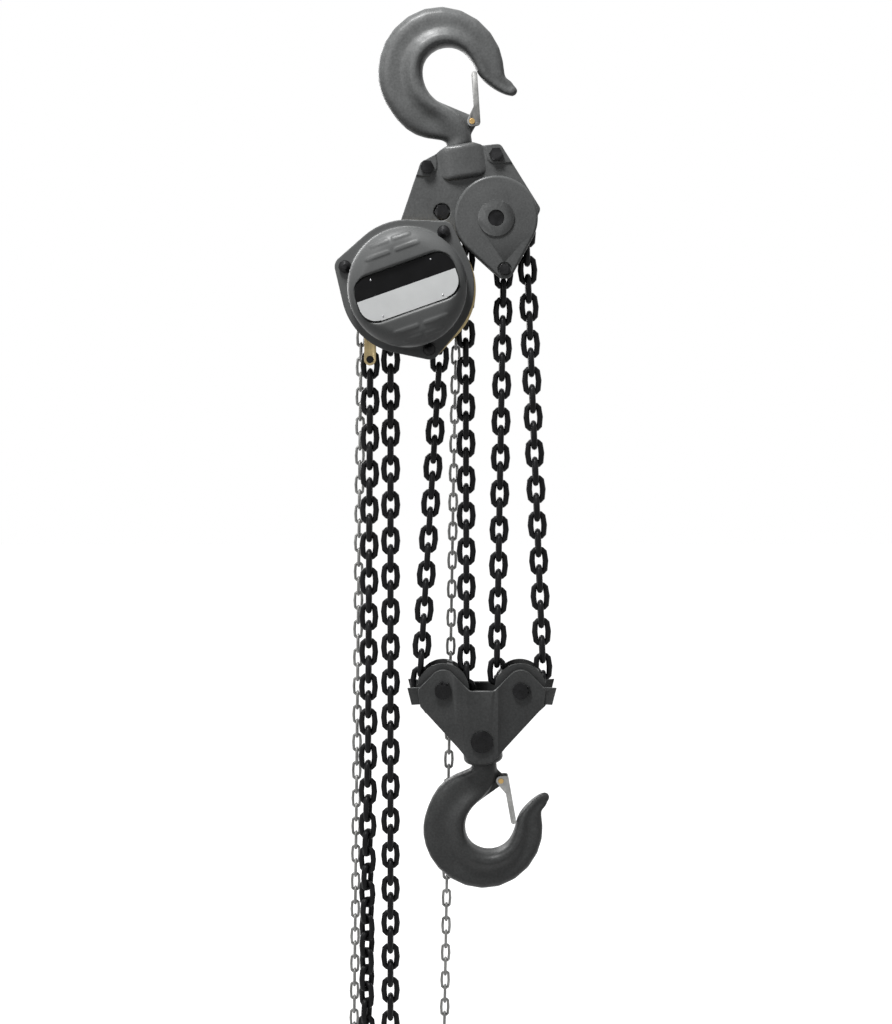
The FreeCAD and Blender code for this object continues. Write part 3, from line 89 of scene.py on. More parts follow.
# Nearly all values of a noise texture lie between these two.
noise_low, noise_high = 0.3, 0.7
# A grain's specks and its gloss are coarser than its relief by these shares of its frequency.
speck_share, gloss_share = 0.8, 0.35


class HoistSizes(bpy.types.PropertyGroup):
    load_wire: bpy.props.FloatProperty(
        name="Load chain wire", description="Diameter of the load chain's round wire",
        default=0.01, unit="LENGTH")
    load_pitch: bpy.props.FloatProperty(
        name="Load chain pitch", description="Inside length of a load chain link",
        default=0.03, unit="LENGTH")
    load_width: bpy.props.FloatProperty(
        name="Load chain inside width", description="Gap across a load chain link",
        default=0.0125, unit="LENGTH")
    hand_wire: bpy.props.FloatProperty(
        name="Hand chain wire", description="Diameter of the hand chain's round wire",
        default=0.005, unit="LENGTH")
    hand_pitch: bpy.props.FloatProperty(
        name="Hand chain pitch", description="Inside length of a hand chain link",
        default=0.025, unit="LENGTH")
    hand_width: bpy.props.FloatProperty(
        name="Hand chain inside width", description="Gap across a hand chain link",
        default=0.0075, unit="LENGTH")
    plate_edge: bpy.props.FloatProperty(
        name="Plate edge", description="Rounding along the edges of the painted plates",
        default=0.0012, unit="LENGTH")
    fine_edge: bpy.props.FloatProperty(
        name="Fine edge", description="Rounding along the edges of fasteners and thin sheet",
        default=0.0004, unit="LENGTH")
    forging_grain: bpy.props.FloatProperty(
        name="Forging skin", description="Size of the facets of the hooks' even skin",
        default=0.0018, unit="LENGTH")
    plate_grain: bpy.props.FloatProperty(
        name="Plate skin", description="Size of the facets of the frame plates' even skin",
        default=0.0012, unit="LENGTH")
    cover_grain: bpy.props.FloatProperty(
        name="Cover skin", description="Size of the facets of the gear cover's even skin",
        default=0.00143, unit="LENGTH")
    cover_radius: bpy.props.FloatProperty(
        name="Cover radius", description="Radius of the gear cover's dome",
        default=0.0953, unit="LENGTH")
    cover_crown: bpy.props.FloatProperty(
        name="Cover crown",
        description="How far the gear cover's face falls from its middle to its rim",
        default=0.007, unit="LENGTH")
    plate_border: bpy.props.FloatProperty(
        name="Data plate border", description="Width of the black border of the data plate",
        default=0.0011, unit="LENGTH")
    plate_line: bpy.props.FloatProperty(
        name="Data plate line",
        description="Height of the line between the plate's dark and pale parts",
        default=0.0035, unit="LENGTH")
    plate_slant: bpy.props.FloatProperty(
        name="Data plate slant", description="Angle by which the data plate rises to the right",
        default=radians(19.3), subtype="ANGLE")
    plate_face: bpy.props.FloatProperty(
        name="Frame plate face",
        description="Distance from the middle plane to a frame plate's outer face",
        default=0.034, unit="LENGTH")
    boss_side: bpy.props.FloatProperty(
        name="Boss place", description="Place of the frame plate's boss from left to right",
        default=0.0224, unit="LENGTH")
    boss_height: bpy.props.FloatProperty(
        name="Boss height", description="Height of the middle of the frame plate's boss",
        default=-0.1822, unit="LENGTH")
    boss_lean: bpy.props.FloatProperty(
        name="Boss lean", description="Angle by which the boss rises to the right",
        default=radians(9), subtype="ANGLE")
    boss_half_width: bpy.props.FloatProperty(
        name="Boss half width", description="Half of the boss's width",
        default=0.036, unit="LENGTH")
    boss_top: bpy.props.FloatProperty(
        name="Boss top", description="Height of the boss's top over its middle",
        default=0.027, unit="LENGTH")
    boss_shoulder: bpy.props.FloatProperty(
        name="Boss shoulder", description="How far the boss's top falls towards its sides",
        default=0.0065, unit="LENGTH")
    boss_level: bpy.props.FloatProperty(
        name="Boss level", description="Share of the boss's half width over which its top is level",
        default=0.6, subtype="FACTOR")
    boss_reach: bpy.props.FloatProperty(
        name="Boss reach",
        description="Share of the boss's half width within which its form is drawn",
        default=1.1, subtype="FACTOR")
    boss_round: bpy.props.FloatProperty(
        name="Boss roundness", description="Share of its rise that the boss loses at its sides",
        default=0.9, subtype="FACTOR")
    rivet_side: bpy.props.FloatProperty(
        name="Rivet distance",
        description="Half of the distance between the data plate's rivets, along the plate",
        default=0.05, unit="LENGTH")
    rivet_height: bpy.props.FloatProperty(
        name="Rivet height",
        description="Half of the distance between the data plate's rivets, across the plate",
        default=0.0295, unit="LENGTH")
    rivet_radius: bpy.props.FloatProperty(
        name="Rivet radius", description="Radius of the data plate's rivet heads",
        default=0.0015, unit="LENGTH")
    keeper_radius: bpy.props.FloatProperty(
        name="Keeper radius",
        description="Radius of the upset lumps that keep the block's pins from turning",
        default=0.0032, unit="LENGTH")
    keeper_reach: bpy.props.FloatProperty(
        name="Keeper reach", description="Distance of the lumps from the axis of a wheel's pin",
        default=0.0135, unit="LENGTH")
    yoke_keeper_reach: bpy.props.FloatProperty(
        name="Yoke keeper reach", description="Distance of the lumps from the yoke's axis",
        default=0.0178, unit="LENGTH")


class HoistColours(bpy.types.PropertyGroup):
    paint: bpy.props.FloatVectorProperty(
        name="Paint", description="Grey paint on castings, plates and hooks",
        default=(0.082, 0.084, 0.084), subtype="COLOR")
    black: bpy.props.FloatVectorProperty(
        name="Black oxide", description="Black oxide on fasteners and pins",
        default=(0.009, 0.009, 0.0095), subtype="COLOR")
    chain: bpy.props.FloatVectorProperty(
        name="Load chain", description="Blackened alloy of the load chain",
        default=(0.006, 0.006, 0.0065), subtype="COLOR")
    zinc: bpy.props.FloatVectorProperty(
        name="Bright zinc", description="Zinc on the hand chain and the latches",
        default=(0.4, 0.4, 0.39), subtype="COLOR")
    yellow: bpy.props.FloatVectorProperty(
        name="Yellow zinc", description="Yellow passivated zinc on the inner side plates",
        default=(0.47, 0.37, 0.19), subtype="COLOR")
    brass: bpy.props.FloatVectorProperty(
        name="Brass", description="Rivets of the latches, and bushes",
        default=(0.5, 0.33, 0.13), subtype="COLOR")
    steel: bpy.props.FloatVectorProperty(
        name="Steel", description="Machined and spring steel",
        default=(0.36, 0.36, 0.37), subtype="COLOR")
    plate: bpy.props.FloatVectorProperty(
        name="Data plate", description="Bare lower half of the data plate",
        default=(0.55, 0.56, 0.56), subtype="COLOR")
    lining: bpy.props.FloatVectorProperty(
        name="Friction lining", description="Pressed lining of the brake",
        default=(0.16, 0.1, 0.06), subtype="COLOR")
    lining_patch: bpy.props.FloatVectorProperty(
        name="Friction lining patches", description="Darker patches of the lining",
        default=(0.09, 0.06, 0.04), subtype="COLOR")


def record_joint(name):
    """Where a joint's axis passes, as the record gives it."""
    joints = record["behaviour"]["joints"]
    return next(Vector(joint["pos_m"]) for joint in joints if joint["name"] == name)


def slanted_axes(angle):
    """The directions along and up a line that rises to the right, seen from the front."""
    return Vector((cos(angle), 0, sin(angle))), Vector((-sin(angle), 0, cos(angle)))


def shader_node(tree, kind, constants, **settings):
    """A shader node with its settings, and with constants on its own sockets."""
    node = tree.nodes.new("ShaderNode" + kind)
    for setting, value in settings.items():
        setattr(node, setting, value)
    for socket, value in constants.items():
        node.inputs[socket].default_value = value
    return node


def noise_value(tree, coords, scale, detail):
    """The value of a noise with `scale` grains to the metre."""
    noise = shader_node(tree, "TexNoise", {"Scale": scale, "Detail": detail})
    tree.links.new(coords, noise.inputs["Vector"])
    return noise.outputs["Fac"]


def spread_noise(tree, value, low, high):
    """A noise value spread over the range from low to high."""
    remap = shader_node(tree, "MapRange", {
        "From Min": noise_low, "From Max": noise_high, "To Min": low, "To Max": high})
    tree.links.new(value, remap.inputs["Value"])
    return remap.outputs["Result"]


def metal_finish(name, colour, patch, rough, patches, grain, relief, metal=0.0, level=0.5,
                 speck=0.1, stretch=(1, 1, 1)):
    """A finish whose colour drifts towards `patch`, with a grain of specks, relief and gloss.

    `rough` is its range of roughness, `patches` and `grain` count the drifts and the grains to
    the metre, `relief` is the grain's height, and `stretch` squeezes the grain along an axis.
    """
    finish = bpy.data.materials.new(name)
    finish.use_nodes = True
    tree = finish.node_tree
    shader = tree.nodes["Principled BSDF"]
    shader.inputs["Metallic"].default_value = metal
    shader.inputs["Specular IOR Level"].default_value = level
    place = shader_node(tree, "TexCoord", {}).outputs["Object"]
    mapping = shader_node(tree, "Mapping", {"Scale": stretch})
    tree.links.new(place, mapping.inputs["Vector"])
    grained = mapping.outputs["Vector"]

    drift = shader_node(tree, "Mix", {"A": (*colour, 1), "B": (*patch, 1)}, data_type="RGBA")
    amount = spread_noise(tree, noise_value(tree, place, patches, detail=4.0), 0.0, 1.0)
    tree.links.new(amount, drift.inputs["Factor"])
    tint = shader_node(tree, "Mix", {"Factor": 1.0}, data_type="RGBA", blend_type="MULTIPLY")
    tree.links.new(drift.outputs["Result"], tint.inputs["A"])
    specks = noise_value(tree, grained, grain * speck_share, detail=2.0)
    tree.links.new(spread_noise(tree, specks, 1.0 - speck, 1.0 + speck), tint.inputs["B"])
    tree.links.new(tint.outputs["Result"], shader.inputs["Base Color"])

    gloss = noise_value(tree, grained, grain * gloss_share, detail=3.0)
    tree.links.new(spread_noise(tree, gloss, *rough), shader.inputs["Roughness"])
    bump = shader_node(tree, "Bump", {"Strength": 1.0, "Distance": relief})
    tree.links.new(noise_value(tree, grained, grain, detail=2.0), bump.inputs["Height"])
    tree.links.new(bump.outputs["Normal"], shader.inputs["Normal"])
    return finish


def shade(colour, factor):
    """A colour made darker or lighter."""
    return tuple(min(1.0, part * factor) for part in colour)


def make_paints(paint):
    """The hoist's painted and cast surfaces."""
    return {
        "dark_paint": metal_finish(
            "cast_grey_paint", paint, shade(paint, 0.8), rough=(0.24, 0.34),
            patches=24, grain=420, relief=0.00012, level=0.17, speck=0.14),
        "forged_paint": metal_finish(
            "forged_grey_paint", shade(paint, 0.98), shade(paint, 0.78), rough=(0.33, 0.46),
            patches=30, grain=360, relief=0.00012, level=0.2, speck=0.16),
        # A darker copy of the grey paint for the lower hook, yoke and block: painted shade, since
        # less light reaches them down there.
        "painted_shade_paint": metal_finish(
            "shaded_grey_paint", shade(paint, 0.72), shade(paint, 0.56), rough=(0.33, 0.46),
            patches=30, grain=360, relief=0.00012, level=0.17, speck=0.16),
        "cover_paint": metal_finish(
            "smooth_grey_paint", shade(paint, 1.05), shade(paint, 0.92), rough=(0.38, 0.46),
            patches=18, grain=650, relief=0.00007, level=0.2, speck=0.07),
        # A lighter paint on the rounded edges: partly rubbed paint, partly a painted highlight
        # where the edges catch the light.
        "worn_and_highlit_paint": metal_finish(
            "worn_and_highlit_edge", shade(paint, 1.7), shade(paint, 1.0), rough=(0.34, 0.48),
            patches=80, grain=500, relief=0.0001, level=0.2, speck=0.2),
        "cast_wheel": metal_finish(
            "cast_wheel", shade(paint, 0.6), shade(paint, 0.4), rough=(0.4, 0.6),
            patches=40, grain=500, relief=0.0002, metal=0.2, level=0.4, speck=0.15),
    }


def make_blacks(black, chain):
    """Blackened fasteners and chain, and the data plate's dark field."""
    return {
        "black_fasteners": metal_finish(
            "black_oxide", black, shade(black, 2.0), rough=(0.22, 0.36),
            patches=120, grain=900, relief=0.00005, level=0.12, speck=0.2),
        "plate_black": metal_finish(
            "black_sheet", shade(black, 0.5), shade(black, 0.8), rough=(0.36, 0.46),
            patches=40, grain=900, relief=0.00002, level=0.08),
        "black_chain": metal_finish(
            "oiled_black_chain", chain, shade(chain, 2.2), rough=(0.28, 0.44),
            patches=60, grain=700, relief=0.00012, level=0.1, speck=0.25),
    }


def make_metals(colours):
    """Plated and bare metal, and the brake's lining."""
    zinc, yellow, brass = tuple(colours.zinc), tuple(colours.yellow), tuple(colours.brass)
    steel, plate = tuple(colours.steel), tuple(colours.plate)
    return {
        "zinc_yellow": metal_finish(
            "yellow_zinc", yellow, shade(yellow, 0.75), rough=(0.32, 0.5),
            patches=60, grain=900, relief=0.00005, metal=0.6),
        "bright_zinc": metal_finish(
            "bright_zinc", shade(zinc, 0.55), shade(zinc, 0.32), rough=(0.42, 0.56),
            patches=80, grain=900, relief=0.00006, metal=0.2, level=0.2, speck=0.15),
        # A lighter copy of the bright zinc for the lower latch: painted light, making up for the
        # light that falls off towards the bottom.
        "painted_light_zinc": metal_finish(
            "painted_light_zinc", shade(zinc, 1.25), shade(zinc, 0.85), rough=(0.36, 0.5),
            patches=80, grain=900, relief=0.00006, metal=0.4, level=0.3, speck=0.15),
        "hand_chain": metal_finish(
            "dull_zinc", shade(zinc, 0.62), shade(zinc, 0.36), rough=(0.32, 0.5),
            patches=45, grain=900, relief=0.00006, metal=0.8),
        "brass": metal_finish(
            "plain_brass", brass, shade(brass, 0.75), rough=(0.28, 0.42),
            patches=90, grain=1100, relief=0.00004, metal=0.85),
        "data_plate": metal_finish(
            "brushed_sheet", plate, shade(plate, 0.9), rough=(0.4, 0.5),
            patches=30, grain=700, relief=0.00003, level=0.4, speck=0.04, stretch=(1, 1, 9)),
        "machined_steel": metal_finish(
            "machined_steel", steel, shade(steel, 0.8), rough=(0.24, 0.36),
            patches=50, grain=1100, relief=0.00004, metal=0.9),
        "spring_steel": metal_finish(
            "spring_steel", shade(steel, 0.6), shade(steel, 0.45), rough=(0.25, 0.36),
            patches=90, grain=1100, relief=0.00003, metal=0.9),
        "friction_lining": metal_finish(
            "friction_lining", tuple(colours.lining), tuple(colours.lining_patch),
            rough=(0.7, 0.85), patches=150, grain=900, relief=0.0001, level=0.3),
    }


finishes = {}


def finish_named(key):
    """A finish by its key. All of them are made when the first is asked for."""
    if not finishes:
        colours = bpy.context.scene.hoist_colours
        finishes.update(make_paints(tuple(colours.paint)))
        finishes.update(make_blacks(tuple(colours.black), tuple(colours.chain)))
        finishes.update(make_metals(colours))
    return finishes[key]


def only(piece):
    """Makes a piece the one that is selected and active."""
    bpy.ops.object.select_all(action="DESELECT")
    piece.select_set(True)
    bpy.context.view_layer.objects.active = piece


def apply(piece, kind, **values):
    """Puts a modifier on a piece and applies it."""
    modifier = piece.modifiers.new(kind.title(), kind)
    for key, value in values.items():
        setattr(modifier, key, value)
    only(piece)
    bpy.ops.object.modifier_apply(modifier=modifier.name)


def paint_with(piece, *keys):
    """Gives a piece its finishes in place of those it has."""
    piece.data.materials.clear()
    for key in keys:
        piece.data.materials.append(finish_named(key))


def stand_for(piece, node):
    """Puts a finished piece in a CAD node's place, hiding the node, and on the node's body."""
    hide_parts(node)
    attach(piece, body_of_node[node])


def merged_copy(node, name):
    """A copy of a CAD node with its triangles joined at their corners."""
    piece = bpy.data.objects.new(name, frame["nodes"][node].data.copy())
    bpy.context.collection.objects.link(piece)
    only(piece)
    bpy.ops.object.mode_set(mode="EDIT")
    bpy.ops.mesh.select_all(action="SELECT")
    bpy.ops.mesh.remove_doubles(threshold=merge_gap)
    bpy.ops.mesh.customdata_custom_splitnormals_clear()
    bpy.ops.object.mode_set(mode="OBJECT")
    return piece


def join_flats():
    """Joins the active piece's triangles where they lie in one flat face."""
    bpy.ops.object.mode_set(mode="EDIT")
    bpy.ops.mesh.select_all(action="SELECT")
    bpy.ops.mesh.dissolve_limited(angle_limit=flat_angle)
    bpy.ops.mesh.select_all(action="DESELECT")
    bpy.ops.object.mode_set(mode="OBJECT")


def finished(node, edge, smooth=35, wear_and_highlight=False, finish=None):
    """The CAD node with rounded edges, which show wear and a painted highlight in a lighter paint
    if asked, and its finish.
    """
    piece = merged_copy(node, "finished_" + node)
    paint_with(piece, finish or slot_of_node[node])
    # The rounded edges get the lighter paint: wear and a painted highlight.
    if wear_and_highlight:
        piece.data.materials.append(finish_named("worn_and_highlit_paint"))
    if edge:
        join_flats()
        apply(piece, "BEVEL", width=edge, segments=2, limit_method="ANGLE", angle_limit=edge_angle,
              harden_normals=True, material=1 if wear_and_highlight else -1)
    only(piece)
    bpy.ops.object.shade_smooth_by_angle(angle=radians(smooth))
    stand_for(piece, node)
    return piece


def cast(node, grain, rounds, finish, shape=None):
    """The CAD node as a casting or forging: one even skin whose edges are worn round."""
    piece = merged_copy(node, "finished_" + node)
    apply(piece, "REMESH", mode="VOXEL", voxel_size=grain)
    if shape:
        shape(piece.data)
    apply(piece, "SMOOTH", factor=0.5, iterations=rounds)
    paint_with(piece, finish)
    only(piece)
    bpy.ops.object.shade_smooth()
    stand_for(piece, node)


def round_boss(data):
    """Draws a frame plate's boss, or the bar behind it, to a half-round with sloping shoulders."""
    sizes = bpy.context.scene.hoist_sizes
    middle = Vector((sizes.boss_side, 0, sizes.boss_height))
    across, upward = slanted_axes(sizes.boss_lean)
    for vertex in data.vertices:
        offset = vertex.co - middle
        share = abs(offset.dot(across)) / sizes.boss_half_width
        if share > sizes.boss_reach or abs(offset.dot(upward)) > sizes.boss_half_width:
            continue
        slope = max(0, share - sizes.boss_level) / (1 - sizes.boss_level)
        over = offset.dot(upward) - (sizes.boss_top - slope * sizes.boss_shoulder)
        if over > 0:
            vertex.co -= upward * over
        proud = abs(vertex.co.y) - sizes.plate_face
        if proud > 0:
            rest = proud * (1 - sizes.boss_round * share * share)
            vertex.co.y = (sizes.plate_face + rest) * (1 if vertex.co.y > 0 else -1)


def crown_cover(data):
    """Sinks the gear cover's face towards its rim, so that it is crowned."""
    sizes = bpy.context.scene.hoist_sizes
    low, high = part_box("gear_cover")
    axis = record_joint("load_sheave_spin")
    for vertex in data.vertices:
        outwards = Vector((vertex.co.x - axis.x, vertex.co.z - axis.z)).length
        share = min(1, outwards / sizes.cover_radius)
        front = min(1, (high.y - vertex.co.y) / (high.y - low.y))
        vertex.co.y += sizes.cover_crown * share ** 2 * front ** 2


def joined(pieces, name, slot, body):
    """Several shapes as one finished piece that rides on a body."""
    bpy.ops.object.select_all(action="DESELECT")
    for piece in pieces:
        piece.select_set(True)
    bpy.context.view_layer.objects.active = pieces[0]
    bpy.ops.object.join()
    piece = bpy.context.object
    bpy.ops.object.transform_apply(location=True, rotation=True, scale=True)
    piece.name = name
    paint_with(piece, slot)
    bpy.ops.object.shade_smooth_by_angle(angle=radians(40))
    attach(piece, body)


def round_head(place, radius):
    """A low domed head that faces the front, sunk a little into what carries it."""
    rise = radius / 2
    bpy.ops.object.select_all(action="DESELECT")
    bpy.ops.mesh.primitive_cylinder_add(vertices=16, radius=radius, depth=2 * rise,
                                        location=place, rotation=(pi / 2, 0, 0))
    head = bpy.context.object
    bpy.ops.object.transform_apply(location=False, rotation=True, scale=True)
    apply(head, "BEVEL", width=rise * 0.8, segments=3, limit_method="ANGLE",
          angle_limit=radians(40))
    return head


def link_shape(wire, pitch, width):
    """One smooth chain link, long in X and wide in Y, from a ring whose ends are pulled apart."""
    bpy.ops.mesh.primitive_torus_add(major_segments=12, minor_segments=8,
                                     major_radius=(width + wire) / 2, minor_radius=wire / 2)
    link = bpy.context.object
    bpy.ops.object.mode_set(mode="EDIT")
    for side in (-1, 1):
        bpy.ops.mesh.select_all(action="DESELECT")
        bpy.ops.object.mode_set(mode="OBJECT")
        for vertex in link.data.vertices:
            vertex.select = vertex.co.x * side > merge_gap
        bpy.ops.object.mode_set(mode="EDIT")
        bpy.ops.transform.translate(value=(side * (pitch - width) / 2, 0, 0))
    bpy.ops.object.mode_set(mode="OBJECT")
    return link


def islands(data):
    """The corners of each separate solid in a mesh, as arrays of places.

    Each corner starts with a label of its own, and each triangle hands its least label on to
    its corners, until all corners of a solid have the same.
    """
    points = numpy.empty(len(data.vertices) * 3)
    data.vertices.foreach_get("co", points)
    corners = numpy.empty(len(data.loops), dtype=int)
    data.loops.foreach_get("vertex_index", corners)
    places, place_of_point = numpy.unique(
        numpy.round(points.reshape(-1, 3), 7), axis=0, return_inverse=True)
    triangles = place_of_point.reshape(-1)[corners.reshape(-1, 3)]
    label = numpy.arange(len(places))
    changed = True
    while changed:
        before = label.copy()
        least = label[triangles].min(axis=1)
        for corner in range(3):
            numpy.minimum.at(label, triangles[:, corner], least)
        label = label[label]
        changed = not numpy.array_equal(before, label)
    return [places[label == island] for island in numpy.unique(label)]


def link_places(node):
    """Centre and axes of each link of a CAD chain: along it, across it and through it.

    The axes are the directions in which the link's corners spread most and second most.
    """
    found = []
    for corners in islands(frame["nodes"][node].data):
        centre = corners.mean(axis=0)
        directions = numpy.linalg.eigh(numpy.cov((corners - centre).T))[1]
        along, across = directions[:, 2], directions[:, 1]
        found.append((centre, numpy.array((along, across, numpy.cross(along, across)))))
    return found


def lay_chain(name, nodes, wire, pitch, width, slot, finish=None):
    """A chain of smooth links that stand exactly where the CAD links do."""
    link = link_shape(wire, pitch, width)
    base = numpy.array([tuple(vertex.co) for vertex in link.data.vertices])
    faces = [tuple(face.vertices) for face in link.data.polygons]
    bpy.data.objects.remove(link)
    points, polygons = [], []
    for node in nodes:
        for centre, axes in link_places(node):
            offset = len(points) * len(base)
            points.append(base @ axes + centre)
            polygons.extend(tuple(index + offset for index in face) for face in faces)
    data = bpy.data.meshes.new(name)
    data.from_pydata(numpy.concatenate(points).tolist(), [], polygons)
    piece = bpy.data.objects.new(name, data)
    bpy.context.collection.objects.link(piece)
    paint_with(piece, finish or slot)
    only(piece)
    bpy.ops.object.shade_smooth()
    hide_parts(*nodes)
    return piece


class HOIST_OT_load_chain(bpy.types.Operator):
    """Lays the load chain over its wheels, down to the lower block and in its hanging loop"""
    bl_idname = "hoist.load_chain"
    bl_label = "Load chain"

    def execute(self, context):
        sizes = context.scene.hoist_sizes
        shape = (sizes.load_wire, sizes.load_pitch, sizes.load_width)
        falls = lay_chain("load_chain_falls", ("upper_load_chain", "lower_load_chain"), *shape,
                          "black_chain")
        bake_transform(falls)
        loop = lay_chain("load_chain_loop", ("hanging_load_chain",), *shape, "black_chain")
        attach(loop, "frame")
        return {"FINISHED"}


class HOIST_OT_hand_chain(bpy.types.Operator):
    """Lays the endless hand chain over the hand wheel"""
    bl_idname = "hoist.hand_chain"
    bl_label = "Hand chain"

    def execute(self, context):
        sizes = context.scene.hoist_sizes
        shape = (sizes.hand_wire, sizes.hand_pitch, sizes.hand_width)
        links = lay_chain("hand_chain_links", ("hand_chain",), *shape, "bright_zinc",
                          finish="hand_chain")
        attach(links, "frame")
        return {"FINISHED"}


class HOIST_OT_hooks(bpy.types.Operator):
    """Finishes both hooks, their latches and the latch pins"""
    bl_idname = "hoist.hooks"
    bl_label = "Hooks and latches"

    def execute(self, context):
        sizes = context.scene.hoist_sizes
        cast("top_hook", sizes.forging_grain, rounds=20, finish="forged_paint")
        # The lower hook gets the darker copy of the paint as painted shade.
        cast("bottom_hook", sizes.forging_grain, rounds=20, finish="painted_shade_paint")
        finished("top_latch", sizes.fine_edge)
        # The lower latch gets the lighter copy of the zinc as painted light.
        finished("bottom_latch", sizes.fine_edge, finish="painted_light_zinc")
        for node in ("top_latch_pin", "bottom_latch_pin"):
            finished(node, sizes.fine_edge)
        return {"FINISHED"}


class HOIST_OT_plates(bpy.types.Operator):
    """Finishes the painted plates of the frame, the idler cheeks and the lower block"""
    bl_idname = "hoist.plates"
    bl_label = "Painted plates"

    def execute(self, context):
        sizes = context.scene.hoist_sizes
        for node in ("front_frame_plate", "rear_frame_plate"):
            cast(node, sizes.plate_grain, rounds=3, finish="dark_paint", shape=round_boss)
        cast("hook_crosshead", sizes.forging_grain, rounds=2, finish="dark_paint",
             shape=round_boss)
        for node in ("front_idler_cheek", "rear_idler_cheek"):
            finished(node, sizes.plate_edge, smooth=24, wear_and_highlight=True)
        # The block's plates get the darker copy of the paint as painted shade.
        for node in ("block_front_plate", "block_rear_plate"):
            finished(node, sizes.plate_edge, smooth=24, wear_and_highlight=True, finish="painted_shade_paint")
        return {"FINISHED"}


class HOIST_OT_covers(bpy.types.Operator):
    """Finishes the two covers, the inner side plates and the tail's anchor"""
    bl_idname = "hoist.covers"
    bl_label = "Covers"

    def execute(self, context):
        sizes = context.scene.hoist_sizes
        cast("gear_cover", sizes.cover_grain, rounds=4, finish="cover_paint", shape=crown_cover)
        finished("hand_wheel_cover", edge=0, smooth=40, finish="cover_paint")
        for node in ("gear_side_plate", "wheel_side_plate", "tail_anchor"):
            finished(node, sizes.fine_edge)
        return {"FINISHED"}


def looks_to_front(face):
    """Whether a face looks to the front, where Y falls."""
    return face.normal.y < -front_share


def make_plate_sheet(sizes, middle, upward):
    """The data plate with its front cut into a border and two fields."""
    piece = merged_copy("data_plate", "data_plate_sheet")
    join_flats()
    for face in piece.data.polygons:
        face.select = looks_to_front(face)
    bpy.ops.object.mode_set(mode="EDIT")
    bpy.ops.mesh.inset(thickness=sizes.plate_border, depth=0)
    bpy.ops.mesh.bisect(plane_co=middle + upward * sizes.plate_line, plane_no=upward)
    bpy.ops.object.mode_set(mode="OBJECT")
    paint_with(piece, "plate_black", "data_plate")
    for face in piece.data.polygons:
        in_field = looks_to_front(face) and face.area > field_area
        below = (face.center - middle).dot(upward) < sizes.plate_line
        face.material_index = 1 if in_field and below else 0
    stand_for(piece, "data_plate")


class HOIST_OT_data_plate(bpy.types.Operator):
    """Makes the bare data plate: black above a slanting line, pale below it, and its rivets"""
    bl_idname = "hoist.data_plate"
    bl_label = "Data plate"

    def execute(self, context):
        sizes = context.scene.hoist_sizes
        low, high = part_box("data_plate")
        middle = Vector(((low.x + high.x) / 2, low.y, (low.z + high.z) / 2))
        along, upward = slanted_axes(sizes.plate_slant)
        make_plate_sheet(sizes, middle, upward)
        heads = []
        for side in (-sizes.rivet_side, sizes.rivet_side):
            for height in (-sizes.rivet_height, sizes.rivet_height):
                heads.append(round_head(middle + along * side + upward * height,
                                        sizes.rivet_radius))
        joined(heads, "data_plate_rivets", "machined_steel", body_of_node["data_plate"])
        return {"FINISHED"}


class HOIST_OT_fasteners(bpy.types.Operator):
    """Finishes bolts, nuts and pins, and the upset lumps that keep the block's pins"""
    bl_idname = "hoist.fasteners"
    bl_label = "Fasteners"

    def execute(self, context):
        sizes = context.scene.hoist_sizes
        for node in ("cover_cap_nuts", "frame_bolts", "frame_cross_bolt", "chain_anchor_pin",
                     "idler_pin", "block_sheave_pins", "stay_bolts", "tail_anchor_pins"):
            finished(node, sizes.fine_edge)
        pin_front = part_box("block_sheave_pins")[0].y

        # The yoke gets the darker copy of the paint as painted shade.
        yoke = finished("hook_yoke", sizes.fine_edge, finish="painted_shade_paint")
        yoke.data.materials.append(finish_named("black_fasteners"))
        bare_ends = -pin_front - sizes.keeper_radius
        for face in yoke.data.polygons:
            if abs(face.center.y) > bare_ends:
                face.material_index = 1

        wheel_pin, yoke_pin = sizes.keeper_reach, sizes.yoke_keeper_reach
        # Each group of lumps: its body, its pin's joint, its reach and its places in degrees.
        for name, body, joint, reach, turns in (
                ("left_pin_keepers", "block", "left_block_sheave_spin", wheel_pin, (58, 98)),
                ("right_pin_keepers", "block", "right_block_sheave_spin", wheel_pin, (-10, 25)),
                ("yoke_pin_keepers", "yoke", "yoke_tilt", yoke_pin, (-25, 0, 25))):
            centre = record_joint(joint)
            lumps = []
            for turn in turns:
                place = (centre.x + reach * cos(radians(turn)),
                         pin_front + sizes.keeper_radius / 2,
                         centre.z + reach * sin(radians(turn)))
                lumps.append(round_head(place, sizes.keeper_radius))
            joined(lumps, name, "black_fasteners", body)
        return {"FINISHED"}


class HOIST_OT_inner_works(bpy.types.Operator):
    """Gives the wheels, gears, brake, bearings and springs their finishes"""
    bl_idname = "hoist.inner_works"
    bl_label = "Inner works"

    def execute(self, context):
        for node, piece in frame["nodes"].items():
            if not piece.hide_render:
                paint_with(piece, slot_of_node[node])
        return {"FINISHED"}


def seen_rays(tree):
    """1 for the rays that show the backdrop: straight, reflected or through glass."""
    rays = shader_node(tree, "LightPath", {})
    total = rays.outputs["Is Camera Ray"]
    for kind in ("Is Glossy Ray", "Is Transmission Ray"):
        either = shader_node(tree, "Math", {}, operation="MAXIMUM")
        tree.links.new(total, either.inputs[0])
        tree.links.new(rays.outputs[kind], either.inputs[1])
        total = either.outputs[0]
    return total


